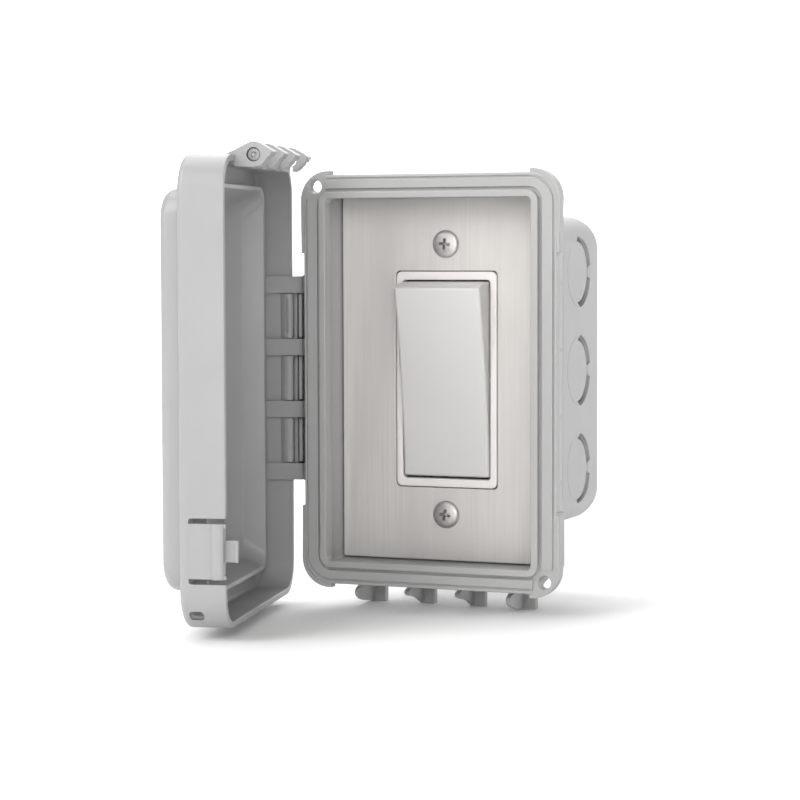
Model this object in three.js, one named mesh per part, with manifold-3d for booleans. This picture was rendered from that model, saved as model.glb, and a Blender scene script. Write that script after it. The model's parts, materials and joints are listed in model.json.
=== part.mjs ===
// Weatherproof one-gang rocker switch: wall box, cover frame with a hinged in-use lid, steel faceplate
// and a decorator rocker switch. Millimetres, +X right, +Y into the wall, +Z up.
// The origin is the point on the wall behind the middle of the cover frame.
// Depths in the constants are counted back from the front ring of the cover frame; yAt() places them.
import * as THREE from 'three';
import { mergeVertices } from 'three/addons/utils/BufferGeometryUtils.js';
import { RoundedBoxGeometry } from 'three/addons/geometries/RoundedBoxGeometry.js';
import Module from 'manifold-3d';

const wasm = await Module();
wasm.setup();

// ---- driving dimensions ----
const GAP = 0.3;                       // clearance between touching pieces
const DEPTH = 62;                      // front ring of the cover frame to the wall
const CURVE = 3;                       // half the segments in a quarter turn

// wall box
const BOX = { halfW: 35, top: 50.3, bottom: -46, front: 24, wall: 2.6, round: 8 };
const KNOCKOUT = { radius: 11.1, slot: 2, z: [33, 2.3, -28.4], depth: 39.1, tab: 12, reach: 76 };
const BOX_SCREW_Z = 41.67;             // device screw pattern, 83.34 mm between screws
const BOX_BOSS = { radius: 3.6, length: 20, pilot: 1.5 };

// cover frame
const RING = { halfW: 33.4, halfH: 55.6, outerW: 35.6, outerH: 57.7, round: 3.4, depth: -0.8 };
const GROOVE = { width: 0.9, depth: 1.1 };
const BAND = { outerW: 39.9, outerH: 61.3, round: 7.2, depth: 0.3 };
const FLANGE = { halfW: 41.2, halfH: 62.9, round: 8.2, front: 0.7, back: 4.2 };
const EAR = { halfW: 42.2, halfH: 64.1, round: 9, fromX: 32.4, fromZ: 39 };
const EAR_HOLE = { x: 37.3, z: 59.3, radius: 2.05 };
// outline of the clear pad round an ear hole, from the ring's corner outward
const EAR_PAD = [[60, 55.4], [36.4, 55.4], [33.7, 57.8], [33.7, 80], [60, 80]];
const TUB = { lip: 3.4, frontW: 39.4, backW: 35.6, innerFrontW: 37, innerBackW: 34.7, extraH: 21.2, back: 22.4 };
const TUB_FLOOR = { front: 20.4, windowW: 20.5, windowH: 34.2, screwRadius: 2.4 };
const KEEPER = { halfW: 41.9, top: -38.2, bottom: -54.8, back: 6.4 };
const HOOK = { x: [-25, -8.35, 8.35, 25], width: 5, nose: 7.4, back: 24, bottom: -70.4, root: -56 };

// hinge on the left edge of the frame, with its rod along Z
const HINGE = { x: -44.8, depth: 11.9, rod: 1.85, rodHalf: 32.2, bracketR: 3.1 };
const CLIP_Z = [-29.2, -9.7, 9.7, 29.2];
const BRACKET_Z = [-19.45, 0, 19.45];    // the brackets fill the gaps between the clips
const BRACKET_WIDTH = 13.6;
const CLIP = { width: 5.15, outer: 3.9, mouthFrom: 200, mouthTo: 285 };
const OPEN_ANGLE = 77;                 // how far the lid stands open in the stored pose, degrees

// lid, given in its closed place
const LID = { halfW: 44.9, halfH: 67, round: 10, wall: 1.9, rim: 6.9, shoulder: -6.8, floor: -4.2 };
const BUBBLE = { halfW: 36.8, halfH: 58.2, round: 8, front: -14.3, frontW: 36.2, frontH: 56.9, bevel: 5 };
const BUBBLE_INSIDE = { halfW: 34.6, halfH: 55.3, round: 6.5, front: -12.4, bevel: 4 };
const RIB = { outerW: 37.4, outerH: 59.5, innerW: 36, innerH: 58.1, round: 5.2, edge: -0.3 };
const TOP_CLIP = { x: [28, 12, -4, -20], width: 5.6, z: 67, depth: 12.2, outer: 3.6, inner: 2.0 };
const TONGUE = { top: -36.4, bottom: -52.1, slot: 1.5, root: -3.9 };
const TONGUE_TAB = { top: -41.1, bottom: -47.3, end: 10.2, nose: 42.7 };
const DRAIN_SLOT = { top: -61.6, bottom: -63.4, front: -3.2, back: 0.2 };

// faceplate and switch
const PLATE = { halfW: 34.8, halfH: 56, front: 15.8, thickness: 1, windowW: 17, windowH: 33.6 };
const PLATE_SCREW = { headR: 4.05, head: 1.5, shankR: 1.7, length: 25 };
const PLATE_GASKET = { halfW: 33.4, halfH: 54.4, windowW: 20, windowH: 37, front: 17.1, thickness: 1.5 };
const STRAP = { front: 18.9, thickness: 1.2, halfW: 19, halfH: 36.4, earHalfW: 8.6, earTop: 52.4 };
const BEZEL = { halfW: 16.6, halfH: 33.25, windowW: 14.45, windowH: 30.6, front: 15.4, back: 18.6 };
const HOUSING = { halfW: 16.4, halfH: 32.6, front: 20.4, back: 46, wall: 1.6 };
const ROCKER = { halfW: 13.9, halfH: 29.5, pivot: 17, vertex: 12.6, end: 11.3, tilt: 8, skirt: 20.6 };
const PADDLE_WALL = 1.8;
const PIVOT_PIN = { radius: 0.9, length: 1.7, depth: 17 };
const STEM = { radius: 4, bore: 2.6, end: 27.5, boreFrom: 17.5 };
const PLUNGER = { radius: 2.2, tip: 33.4, from: 22.5 };
const BRIDGE = { depth: 33.9, thickness: 0.8, halfL: 12, halfW: 4, tilt: 6 };
const TERMINAL_Z = 15;                 // terminal screws above and below the middle
const TERMINAL_DEPTH = 32;
const GROUND_TAB = { outer: -18.6, z: -20, halfH: 4.5, back: 37 };

// ---- colours ----
const mat = (color, roughness, metalness = 0) => new THREE.MeshStandardMaterial({ color, roughness, metalness });
const framePlastic = mat(0xb4b5b6, 0.5);
const boxPlastic = mat(0xbcbdbe, 0.55);
const lidPlastic = mat(0xc4c5c6, 0.45);
const gasketFoam = mat(0x3a3a3b, 0.9);
const steel = mat(0xc4c0b9, 0.35, 0.9);
const zinc = mat(0xb9bbbd, 0.4, 0.9);
const brass = mat(0xc2a25a, 0.35, 0.9);
const greenScrew = mat(0x3f8a50, 0.4, 0.7);
const whitePlastic = mat(0xe4e1dd, 0.35);
const rockerPlastic = mat(0xdad8d5, 0.35);
const housingPlastic = mat(0x9a9b9c, 0.5);
const nylon = mat(0xe8e6dd, 0.5);
const springSteel = mat(0x8e9092, 0.35, 0.9);
const silver = mat(0xd9d9d6, 0.3, 0.9);

// ---- geometry helpers ----
const yAt = (depth) => depth - DEPTH;
const rad = (degrees) => THREE.MathUtils.degToRad(degrees);

function solid(geometry) {
  const g = geometry.clone();
  g.deleteAttribute('normal');
  g.deleteAttribute('uv');
  const m = mergeVertices(g, 1e-4);
  const index = m.index.array;
  return new wasm.Manifold(new wasm.Mesh({
    numProp: 3,
    vertProperties: new Float32Array(m.attributes.position.array),
    triVerts: new Uint32Array(index),
  }));
}

function toGeometry(manifold) {
  const data = manifold.getMesh();
  const g = new THREE.BufferGeometry();
  g.setAttribute('position', new THREE.BufferAttribute(data.vertProperties, 3));
  g.setIndex(new THREE.BufferAttribute(data.triVerts, 1));
  g.computeVertexNormals();
  return g;
}

const union = (parts) => parts.reduce((all, one) => all.add(one));
const cut = (body, tools) => tools.reduce((rest, tool) => rest.subtract(tool), body);

// A rounded rectangle in X and Z.
function roundedRect(halfW, halfH, r, x = 0, z = 0) {
  const s = new THREE.Shape();
  s.moveTo(x - halfW + r, z - halfH);
  s.lineTo(x + halfW - r, z - halfH);
  s.absarc(x + halfW - r, z - halfH + r, r, -Math.PI / 2, 0, false);
  s.lineTo(x + halfW, z + halfH - r);
  s.absarc(x + halfW - r, z + halfH - r, r, 0, Math.PI / 2, false);
  s.lineTo(x - halfW + r, z + halfH);
  s.absarc(x - halfW + r, z + halfH - r, r, Math.PI / 2, Math.PI, false);
  s.lineTo(x - halfW, z - halfH + r);
  s.absarc(x - halfW + r, z - halfH + r, r, Math.PI, Math.PI * 1.5, false);
  return s;
}

// A shape drawn in X and Z, extruded between two depths. A bevel rounds the front edge or both edges.
function slab(shape, front, back, bevel = 0) {
  const g = new THREE.ExtrudeGeometry(shape, {
    depth: back - front - bevel, curveSegments: CURVE, steps: 1,
    bevelEnabled: bevel > 0, bevelThickness: bevel, bevelSize: bevel, bevelOffset: -bevel, bevelSegments: 3,
  });
  g.rotateX(Math.PI / 2);
  g.translate(0, yAt(back), 0);
  return bevel > 0 ? solid(g).subtract(block(-200, 200, back, back + 2 * bevel + 5, -200, 200)) : solid(g);
}

function block(x0, x1, front, back, z0, z1) {
  const g = new THREE.BoxGeometry(x1 - x0, back - front, z1 - z0);
  g.translate((x0 + x1) / 2, yAt((front + back) / 2), (z0 + z1) / 2);
  return solid(g);
}

// A rectangular block that narrows from its front to its back.
function taperedBlock(frontW, frontH, backW, backH, front, back) {
  const g = new THREE.BoxGeometry(1, 1, 1);
  const p = g.attributes.position;
  for (let i = 0; i < p.count; i += 1) {
    const atBack = p.getY(i) > 0;
    const halfW = atBack ? backW : frontW;
    const halfH = atBack ? backH : frontH;
    p.setXYZ(i, Math.sign(p.getX(i)) * halfW, yAt(atBack ? back : front), Math.sign(p.getZ(i)) * halfH);
  }
  return solid(g);
}

// Cylinders with their axes along X, Y and Z.
function rodX(radius, x0, x1, depth, z, segments = 24) {
  const g = new THREE.CylinderGeometry(radius, radius, x1 - x0, segments);
  g.rotateZ(Math.PI / 2);
  g.translate((x0 + x1) / 2, yAt(depth), z);
  return solid(g);
}

function rodY(radius, front, back, x, z, segments = 24) {
  const g = new THREE.CylinderGeometry(radius, radius, back - front, segments);
  g.translate(x, yAt((front + back) / 2), z);
  return solid(g);
}

function rodZ(radius, z0, z1, x, depth, segments = 24) {
  const g = new THREE.CylinderGeometry(radius, radius, z1 - z0, segments);
  g.rotateX(Math.PI / 2);
  g.translate(x, yAt(depth), (z0 + z1) / 2);
  return solid(g);
}

// A ring sector. Angles run from `from` to `to`, in degrees, in the plane of the shape.
function sectorShape(inner, outer, from, to) {
  const s = new THREE.Shape();
  s.absarc(0, 0, outer, rad(from), rad(to), false);
  s.absarc(0, 0, inner, rad(to), rad(from), true);
  s.closePath();
  return s;
}

function extrudeAlong(shape, length) {
  return new THREE.ExtrudeGeometry(shape, { depth: length, curveSegments: 3 * CURVE, bevelEnabled: false });
}

const model = new THREE.Group();

function addMesh(parent, name, manifold, material) {
  const mesh = new THREE.Mesh(toGeometry(manifold), material);
  mesh.name = name;
  parent.add(mesh);
  return mesh;
}

// ---- wall box ----
function knockoutSlots(side) {
  const slots = [];
  for (const z of KNOCKOUT.z) {
    for (const middle of [KNOCKOUT.tab / 2 + KNOCKOUT.reach / 2, -KNOCKOUT.tab / 2 - KNOCKOUT.reach / 2]) {
      const shape = sectorShape(KNOCKOUT.radius - KNOCKOUT.slot, KNOCKOUT.radius,
        middle - KNOCKOUT.reach / 2, middle + KNOCKOUT.reach / 2);
      const g = extrudeAlong(shape, 3 * BOX.wall);
      // shape X becomes depth and shape Y becomes height, so that 0 degrees points at the wall
      g.applyMatrix4(new THREE.Matrix4().makeBasis(
        new THREE.Vector3(0, 1, 0), new THREE.Vector3(0, 0, 1), new THREE.Vector3(1, 0, 0)));
      g.translate(side * BOX.halfW - 1.5 * BOX.wall, yAt(KNOCKOUT.depth), z);
      slots.push(solid(g));
    }
  }
  return slots;
}

function makeWallBox() {
  const height = BOX.top - BOX.bottom;
  const middle = (BOX.top + BOX.bottom) / 2;
  const full = DEPTH - BOX.front + 2 * BOX.round;
  const outer = new RoundedBoxGeometry(2 * BOX.halfW, full, height, 3, BOX.round);
  outer.translate(0, -full / 2, middle);
  const w = BOX.wall;
  const inner = new RoundedBoxGeometry(2 * (BOX.halfW - w), full, height - 2 * w, 3, BOX.round - w);
  inner.translate(0, -full / 2 - w, middle);
  let body = solid(outer).subtract(solid(inner));
  const bosses = [];
  const pilots = [];
  for (const z of [BOX_SCREW_Z, -BOX_SCREW_Z]) {
    const wallZ = z > 0 ? BOX.top - w / 2 : BOX.bottom + w / 2;
    bosses.push(rodY(BOX_BOSS.radius, BOX.front, BOX.front + BOX_BOSS.length, 0, z));
    bosses.push(block(-2, 2, BOX.front, BOX.front + BOX_BOSS.length, Math.min(z, wallZ), Math.max(z, wallZ)));
    pilots.push(rodY(PLATE_SCREW.shankR + GAP, BOX.front - 1, BOX.front + BOX_BOSS.length - 2, 0, z));
  }
  body = union([body, ...bosses]);
  // two screw holes through the back
  const wallHoles = [24, -20].map((z) => rodY(2.4, DEPTH - 2 * w, DEPTH + 1, 0, z));
  return cut(body, [
    block(-60, 60, BOX.front - 60, BOX.front, -80, 80), ...pilots, ...wallHoles,
    ...knockoutSlots(1), ...knockoutSlots(-1),
  ]);
}

function makeBoxGasket() {
  const front = TUB.back + GAP;
  const middle = (BOX.top + BOX.bottom) / 2;
  const halfH = (BOX.top - BOX.bottom) / 2;
  const outer = slab(roundedRect(BOX.halfW - 0.4, halfH - 0.4, BOX.round, 0, middle), front, front + 1);
  const window = slab(roundedRect(BOX.halfW - 8, halfH - 11.5, BOX.round, 0, middle), front - 1, front + 2);
  const holes = [1, -1].map((side) => rodY(TUB_FLOOR.screwRadius, front - 1, front + 2, 0, side * BOX_SCREW_Z));
  return cut(outer, [window, ...holes]);
}

// ---- cover frame ----
function makeFrameFace() {
  const flange = slab(roundedRect(FLANGE.halfW, FLANGE.halfH, FLANGE.round), FLANGE.front, FLANGE.back);
  const earPlate = slab(roundedRect(EAR.halfW, EAR.halfH, EAR.round), FLANGE.front, FLANGE.back);
  const ears = cut(earPlate, [
    block(-EAR.fromX, EAR.fromX, -1, 20, -80, 80),
    block(-60, 60, -1, 20, -EAR.fromZ, EAR.fromZ),
  ]);
  const band = slab(roundedRect(BAND.outerW, BAND.outerH, BAND.round), BAND.depth, FLANGE.back);
  const ring = slab(roundedRect(RING.outerW, RING.outerH, RING.round), RING.depth, FLANGE.back);
  const grooveOuter = slab(roundedRect(RING.outerW + GROOVE.width, RING.outerH + GROOVE.width,
    RING.round + GROOVE.width), -1, RING.depth + GROOVE.depth);
  const grooveInner = slab(roundedRect(RING.outerW, RING.outerH, RING.round), -2, RING.depth + GROOVE.depth + 1);
  const face = cut(union([flange, ears, band]), [grooveOuter.subtract(grooveInner)]);
  return face.add(ring);
}

function makeTub() {
  const outer = taperedBlock(TUB.frontW, TUB.frontW + TUB.extraH, TUB.backW, TUB.backW + TUB.extraH,
    TUB.lip, TUB.back);
  return outer;
}

function makeHooks() {
  return HOOK.x.map((x, i) => {
    const full = i === 0 || i === HOOK.x.length - 1;
    // side profile in depth and height: a rounded nose in front, a block behind
    const s = new THREE.Shape();
    const low = HOOK.bottom;
    s.moveTo(HOOK.back, HOOK.root);
    s.lineTo(HOOK.back, low);
    if (full) {
      s.lineTo(HOOK.nose + 3, low);
      s.quadraticCurveTo(HOOK.nose - 1.2, low + 1.7, HOOK.nose + 2.4, low + 3.4);
      s.quadraticCurveTo(HOOK.nose + 7.2, low + 3.8, HOOK.nose + 8.4, low + 5.4);
    } else {
      s.lineTo(HOOK.nose + 9.3, low);
      s.quadraticCurveTo(HOOK.nose + 8.4, low + 2.4, HOOK.nose + 1.2, low + 2.7);
      s.quadraticCurveTo(HOOK.nose - 1, low + 3.5, HOOK.nose + 1.4, low + 4);
      s.quadraticCurveTo(HOOK.nose + 7.6, low + 4.2, HOOK.nose + 8.4, low + 5.4);
    }
    s.lineTo(HOOK.nose + 8.4, HOOK.root);
    s.closePath();
    const g = extrudeAlong(s, HOOK.width);
    g.applyMatrix4(new THREE.Matrix4().makeBasis(
      new THREE.Vector3(0, 1, 0), new THREE.Vector3(0, 0, 1), new THREE.Vector3(1, 0, 0)));
    g.translate(x - HOOK.width / 2, yAt(0), 0);
    return solid(g);
  });
}

function makeBrackets() {
  return BRACKET_Z.flatMap((z) => {
    const z0 = z - BRACKET_WIDTH / 2;
    const z1 = z + BRACKET_WIDTH / 2;
    const eye = rodZ(HINGE.bracketR, z0, z1, HINGE.x, HINGE.depth);
    const arm = block(HINGE.x, -TUB.backW, HINGE.depth - 2.4, HINGE.depth + HINGE.bracketR, z0, z1);
    return [eye, arm];
  });
}

function makeCoverFrame() {
  const keeper = block(KEEPER.halfW - 6, KEEPER.halfW, FLANGE.front, KEEPER.back, KEEPER.bottom, KEEPER.top);
  const holes = [[-EAR_HOLE.x, EAR_HOLE.z], [EAR_HOLE.x, -EAR_HOLE.z]];
  const bored = holes.map(([x, z]) => rodY(EAR_HOLE.radius, -5, TUB.back + 5, x, z));
  // the ring and the band stop short of each ear hole
  const pads = [-1, 1].map((side) => {
    const outline = new THREE.Shape(EAR_PAD.map(([x, z]) => new THREE.Vector2(side * x, -side * z)));
    return slab(outline, -5, FLANGE.front);
  });
  const body = union([makeFrameFace(), makeTub(), ...makeHooks(), ...makeBrackets(), keeper]);
  const opening = slab(roundedRect(RING.halfW, RING.halfH, 1.5), -2, TUB.lip + 1);
  const recess = taperedBlock(TUB.innerFrontW, TUB.innerFrontW + TUB.extraH, TUB.innerBackW,
    TUB.innerBackW + TUB.extraH, TUB.lip + 0.6, TUB_FLOOR.front);
  const window = block(-TUB_FLOOR.windowW, TUB_FLOOR.windowW, 10, TUB.back + 1, -TUB_FLOOR.windowH,
    TUB_FLOOR.windowH);
  const screwHoles = [1, -1].map((side) =>
    rodY(TUB_FLOOR.screwRadius, 10, TUB.back + 1, 0, side * BOX_SCREW_Z));
  const rodBore = rodZ(HINGE.rod + GAP, -HINGE.rodHalf - 5, HINGE.rodHalf + 5, HINGE.x, HINGE.depth);
  return cut(body, [opening, recess, window, ...screwHoles, rodBore, ...pads, ...bored]);
}

// ---- faceplate ----
function makeFaceplate() {
  const outer = slab(roundedRect(PLATE.halfW, PLATE.halfH, 1.6), PLATE.front, PLATE.front + PLATE.thickness);
  const window = slab(roundedRect(PLATE.windowW, PLATE.windowH, 1.4), PLATE.front - 1, PLATE.front + 4);
  const holes = [1, -1].map((side) =>
    rodY(PLATE_SCREW.shankR + GAP, PLATE.front - 1, PLATE.front + 4, 0, side * BOX_SCREW_Z));
  return cut(outer, [window, ...holes]);
}

function makeScrew(z) {
  const top = PLATE.front - GAP;
  const points = [];
  const steps = 5;
  for (let i = 0; i <= steps; i += 1) {
    const a = (i / steps) * (Math.PI / 2);
    points.push(new THREE.Vector2(PLATE_SCREW.headR * Math.sin(a), PLATE_SCREW.head * Math.cos(a)));
  }
  points.push(new THREE.Vector2(PLATE_SCREW.shankR, 0));
  points.push(new THREE.Vector2(PLATE_SCREW.shankR, -PLATE_SCREW.length + 1));
  points.push(new THREE.Vector2(PLATE_SCREW.shankR - 0.7, -PLATE_SCREW.length));
  points.push(new THREE.Vector2(0, -PLATE_SCREW.length));
  const g = new THREE.LatheGeometry(points.reverse(), 28);
  g.rotateX(Math.PI);
  // the lathe axis is Y, and the head must face the front
  g.translate(0, yAt(top), z);
  const recess = [block(-2.3, 2.3, top - 3, top - 0.4, z - 0.45, z + 0.45),
    block(-0.45, 0.45, top - 3, top - 0.4, z - 2.3, z + 2.3)];
  return cut(solid(g), recess);
}

function makePlateGasket() {
  const back = PLATE_GASKET.front + PLATE_GASKET.thickness;
  const outer = slab(roundedRect(PLATE_GASKET.halfW, PLATE_GASKET.halfH, 1.5), PLATE_GASKET.front, back);
  const window = slab(roundedRect(PLATE_GASKET.windowW, PLATE_GASKET.windowH, 1.5), PLATE_GASKET.front - 1,
    back + 1);
  const holes = [1, -1].map((side) => rodY(2.4, PLATE_GASKET.front - 1, back + 1, 0, side * BOX_SCREW_Z));
  return cut(outer, [window, ...holes]);
}

// ---- switch ----
function makeBezel() {
  const outer = slab(roundedRect(BEZEL.halfW, BEZEL.halfH, 1.6), BEZEL.front, BEZEL.back, 0.4);
  const window = slab(roundedRect(BEZEL.windowW, BEZEL.windowH, 1), BEZEL.front - 1, BEZEL.back + 1);
  const pivots = rodX(PIVOT_PIN.radius + GAP, -BEZEL.windowW - PIVOT_PIN.length, BEZEL.windowW
    + PIVOT_PIN.length, PIVOT_PIN.depth, 0);
  return cut(outer, [window, pivots]);
}

function makeStrap() {
  const back = STRAP.front + STRAP.thickness;
  const middle = slab(roundedRect(STRAP.halfW, STRAP.halfH, 2), STRAP.front, back);
  const ears = slab(roundedRect(STRAP.earHalfW, STRAP.earTop, 3), STRAP.front, back);
  const window = block(-BEZEL.windowW - GAP, BEZEL.windowW + GAP, STRAP.front - 1, back + 1,
    -BEZEL.windowH - GAP, BEZEL.windowH + GAP);
  const holes = [1, -1].map((side) => rodY(2.2, STRAP.front - 1, back + 1, 0, side * BOX_SCREW_Z));
  // the ground tab is bent back beside the housing
  const tab = GROUND_TAB;
  const groundTab = block(tab.outer, tab.outer + STRAP.thickness, STRAP.front + 0.2, tab.back, tab.z - tab.halfH,
    tab.z + tab.halfH);
  return cut(union([middle, ears, groundTab]), [window, ...holes,
    rodX(2.1, tab.outer - 1, tab.outer + 3, TERMINAL_DEPTH, tab.z)]);
}

function makeHousing() {
  const w = HOUSING.wall;
  const outer = slab(roundedRect(HOUSING.halfW, HOUSING.halfH, 2), HOUSING.front, HOUSING.back);
  const cavity = block(-BEZEL.windowW - GAP, BEZEL.windowW + GAP, HOUSING.front - 1, HOUSING.back - w,
    -BEZEL.windowH - GAP, BEZEL.windowH + GAP);
  // the fulcrum that the contact bridge rocks on
  const fulcrum = block(-3, 3, BRIDGE.depth + BRIDGE.thickness + 0.9, HOUSING.back, -1, 1);
  return cut(outer, [cavity]).add(fulcrum);
}

function makeTerminalPlate(side) {
  const x = HOUSING.halfW + GAP;
  const z = side * TERMINAL_Z;
  const plate = block(x, x + 1, TERMINAL_DEPTH - 6, TERMINAL_DEPTH + 6, z - 5, z + 5);
  return plate.subtract(rodX(2.1, x - 1, x + 3, TERMINAL_DEPTH, z));
}

function makeTerminalScrew(side) {
  const x = HOUSING.halfW + GAP;
  const z = side * TERMINAL_Z;
  const shank = rodX(1.7, x + 0.1, x + 2, TERMINAL_DEPTH, z);
  const head = rodX(3.8, x + 1 + GAP, x + 3.3, TERMINAL_DEPTH, z);
  const slot = block(x + 2.6, x + 5, TERMINAL_DEPTH - 0.5, TERMINAL_DEPTH + 0.5, z - 5, z + 5);
  return shank.add(head).subtract(slot);
}

function makeGroundScrew() {
  const x = GROUND_TAB.outer;
  const shank = rodX(1.7, x - 1, x + 1.6, TERMINAL_DEPTH, GROUND_TAB.z);
  const head = rodX(3.4, x - 2.5, x - GAP, TERMINAL_DEPTH, GROUND_TAB.z);
  const slot = block(x - 4, x - 1.8, TERMINAL_DEPTH - 0.5, TERMINAL_DEPTH + 0.5, GROUND_TAB.z - 5,
    GROUND_TAB.z + 5);
  return shank.add(head).subtract(slot);
}

function makeFixedContact() {
  const front = BRIDGE.depth + BRIDGE.thickness + Math.sin(rad(BRIDGE.tilt)) * BRIDGE.halfL + 0.8;
  const pad = block(-3.5, 3.5, front + 0.8, front + 1.8, -13.5, -7);
  const button = rodY(2, front, front + 0.9, 0, -10.2, 16);
  return pad.add(button);
}

// ---- rocker, drawn level and then tilted about its pivot ----
function rockerSide(inset) {
  const s = new THREE.Shape();
  const h = ROCKER.halfH - inset;
  s.moveTo(ROCKER.end + inset, h);
  s.quadraticCurveTo(2 * ROCKER.vertex - ROCKER.end + inset, 0, ROCKER.end + inset, -h);
  // the end walls are arcs about the pivot, so the gap to the bezel stays the same as the paddle tilts
  const radius = Math.hypot(h, ROCKER.end + inset - ROCKER.pivot);
  const front = Math.atan2(-h, ROCKER.end + inset - ROCKER.pivot);
  const back = -Math.acos((ROCKER.skirt + 3 * inset - ROCKER.pivot) / radius);
  s.absarc(ROCKER.pivot, 0, radius, front, back, false);
  s.absarc(ROCKER.pivot, 0, radius, -back, -front, false);
  s.closePath();
  return s;
}

function rockerBody(inset) {
  const halfW = ROCKER.halfW - inset;
  const g = extrudeAlong(rockerSide(inset), 2 * halfW);
  g.applyMatrix4(new THREE.Matrix4().makeBasis(
    new THREE.Vector3(0, 1, 0), new THREE.Vector3(0, 0, 1), new THREE.Vector3(1, 0, 0)));
  g.translate(-halfW, yAt(0), 0);
  return solid(g);
}

function makePaddle() {
  const shell = rockerBody(0).subtract(rockerBody(PADDLE_WALL));
  const stem = rodY(STEM.radius, ROCKER.vertex + 1.2, STEM.end, 0, 0);
  const bore = rodY(STEM.bore, STEM.boreFrom, STEM.end + 1, 0, 0);
  const pin = PIVOT_PIN;
  const pins = [1, -1].map((side) => rodX(pin.radius, Math.min(side * (ROCKER.halfW - 0.5),
    side * (BEZEL.windowW + pin.length - GAP)), Math.max(side * (ROCKER.halfW - 0.5),
    side * (BEZEL.windowW + pin.length - GAP)), ROCKER.pivot, 0));
  return union([shell, stem, ...pins]).subtract(bore);
}

function makePlunger() {
  const stem = rodY(PLUNGER.radius, PLUNGER.from, PLUNGER.tip - PLUNGER.radius, 0, 0);
  const g = new THREE.SphereGeometry(PLUNGER.radius, 20, 12);
  g.translate(0, yAt(PLUNGER.tip - PLUNGER.radius), 0);
  return stem.add(solid(g));
}

function makePlungerSpring() {
  const length = PLUNGER.from - STEM.boreFrom - 2 * GAP;
  const turns = 4;
  const wire = 0.3;
  class Helix extends THREE.Curve {
    getPoint(t, target = new THREE.Vector3()) {
      const a = 2 * Math.PI * turns * t;
      const r = STEM.bore - wire - GAP;
      return target.set(r * Math.cos(a), wire + (length - 2 * wire) * t, r * Math.sin(a));
    }
  }
  const section = new THREE.Shape();
  section.absarc(0, 0, wire, 0, 2 * Math.PI, false);
  const g = new THREE.ExtrudeGeometry(section, {
    extrudePath: new Helix(), steps: turns * 12, curveSegments: 3, bevelEnabled: false,
  });
  g.translate(0, yAt(STEM.boreFrom + GAP), 0);
  return solid(g);
}

// ---- lid, drawn in its closed place ----
function lidOuter() {
  const skirt = slab(roundedRect(LID.halfW, LID.halfH, LID.round), LID.shoulder, LID.rim, 2.2);
  const root = slab(roundedRect(BUBBLE.halfW, BUBBLE.halfH, BUBBLE.round), LID.shoulder, LID.shoulder + 1.5);
  const dome = slab(roundedRect(BUBBLE.frontW, BUBBLE.frontH, BUBBLE.round), BUBBLE.front,
    BUBBLE.front + BUBBLE.bevel + 1, BUBBLE.bevel);
  return skirt.add(wasm.Manifold.hull([root, dome]));
}

function lidHollows() {
  const inside = slab(roundedRect(LID.halfW - LID.wall, LID.halfH - LID.wall, LID.round - LID.wall), LID.floor,
    LID.rim + 2);
  const ribOuter = slab(roundedRect(RIB.outerW, RIB.outerH, RIB.round), LID.floor - 1, RIB.edge);
  const mouth = slab(roundedRect(RIB.innerW, RIB.innerH, RIB.round - 1), RIB.edge, LID.rim + 2);
  const front = slab(roundedRect(BUBBLE_INSIDE.halfW, BUBBLE_INSIDE.halfH, BUBBLE_INSIDE.round),
    BUBBLE_INSIDE.front, BUBBLE_INSIDE.front + BUBBLE_INSIDE.bevel + 1, BUBBLE_INSIDE.bevel);
  return [inside.subtract(ribOuter), wasm.Manifold.hull([mouth, front])];
}

// A clip eye about a rod along Z. Angle 0 points forward and angles run by way of -X.
function eyeShape(inner, outer, from, to) {
  return sectorShape(inner, outer, from, to);
}

const eyeBasis = new THREE.Matrix4().makeBasis(
  new THREE.Vector3(0, -1, 0), new THREE.Vector3(-1, 0, 0), new THREE.Vector3(0, 0, -1));

function hingeEye(inner, outer, from, to, z0, z1) {
  const g = extrudeAlong(eyeShape(inner, outer, from, to), z1 - z0);
  g.applyMatrix4(eyeBasis);
  g.translate(HINGE.x, yAt(HINGE.depth), z1);
  return solid(g);
}

function makeHingeClips() {
  const inner = HINGE.rod + GAP;
  const innerWall = -LID.halfW + LID.wall;
  const parts = CLIP_Z.flatMap((z) => {
    const z0 = z - CLIP.width / 2;
    const z1 = z + CLIP.width / 2;
    return [
      hingeEye(inner, CLIP.outer, CLIP.mouthTo - 360, CLIP.mouthFrom, z0, z1),
      block(innerWall - 0.5, innerWall + 1.4, LID.floor - 0.5, HINGE.depth - CLIP.outer + 0.9, z0, z1),
    ];
  });
  const zEnd = CLIP_Z[CLIP_Z.length - 1] + CLIP.width / 2;
  // a curved web joins the clips on the outer side of the rod
  parts.push(hingeEye(3.6, 5.2, -4, 80, -zEnd, zEnd));
  return parts;
}

function makeTopClips() {
  const c = TOP_CLIP;
  return c.x.map((x, i) => {
    const x0 = x - c.width / 2;
    const x1 = x + c.width / 2;
    const whole = i === 0;
    const eye = extrudeAlong(eyeShape(c.inner, c.outer, whole ? 0 : -60, whole ? 360 : 215), c.width);
    // angle 0 points forward and angles run by way of +Z
    eye.applyMatrix4(new THREE.Matrix4().makeBasis(
      new THREE.Vector3(0, -1, 0), new THREE.Vector3(0, 0, 1), new THREE.Vector3(-1, 0, 0)));
    eye.translate(x1, yAt(c.depth), c.z);
    const eyeSolid = whole ? rodX(c.outer, x0, x1, c.depth, c.z).subtract(rodX(c.inner, x0 + 1.2, x1 + 1,
      c.depth, c.z)) : solid(eye);
    const arm = block(x0, x1, LID.rim - 6, c.depth - c.inner - 0.2, c.z - 1.6, c.z + 0.9);
    return eyeSolid.add(arm);
  });
}

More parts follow.
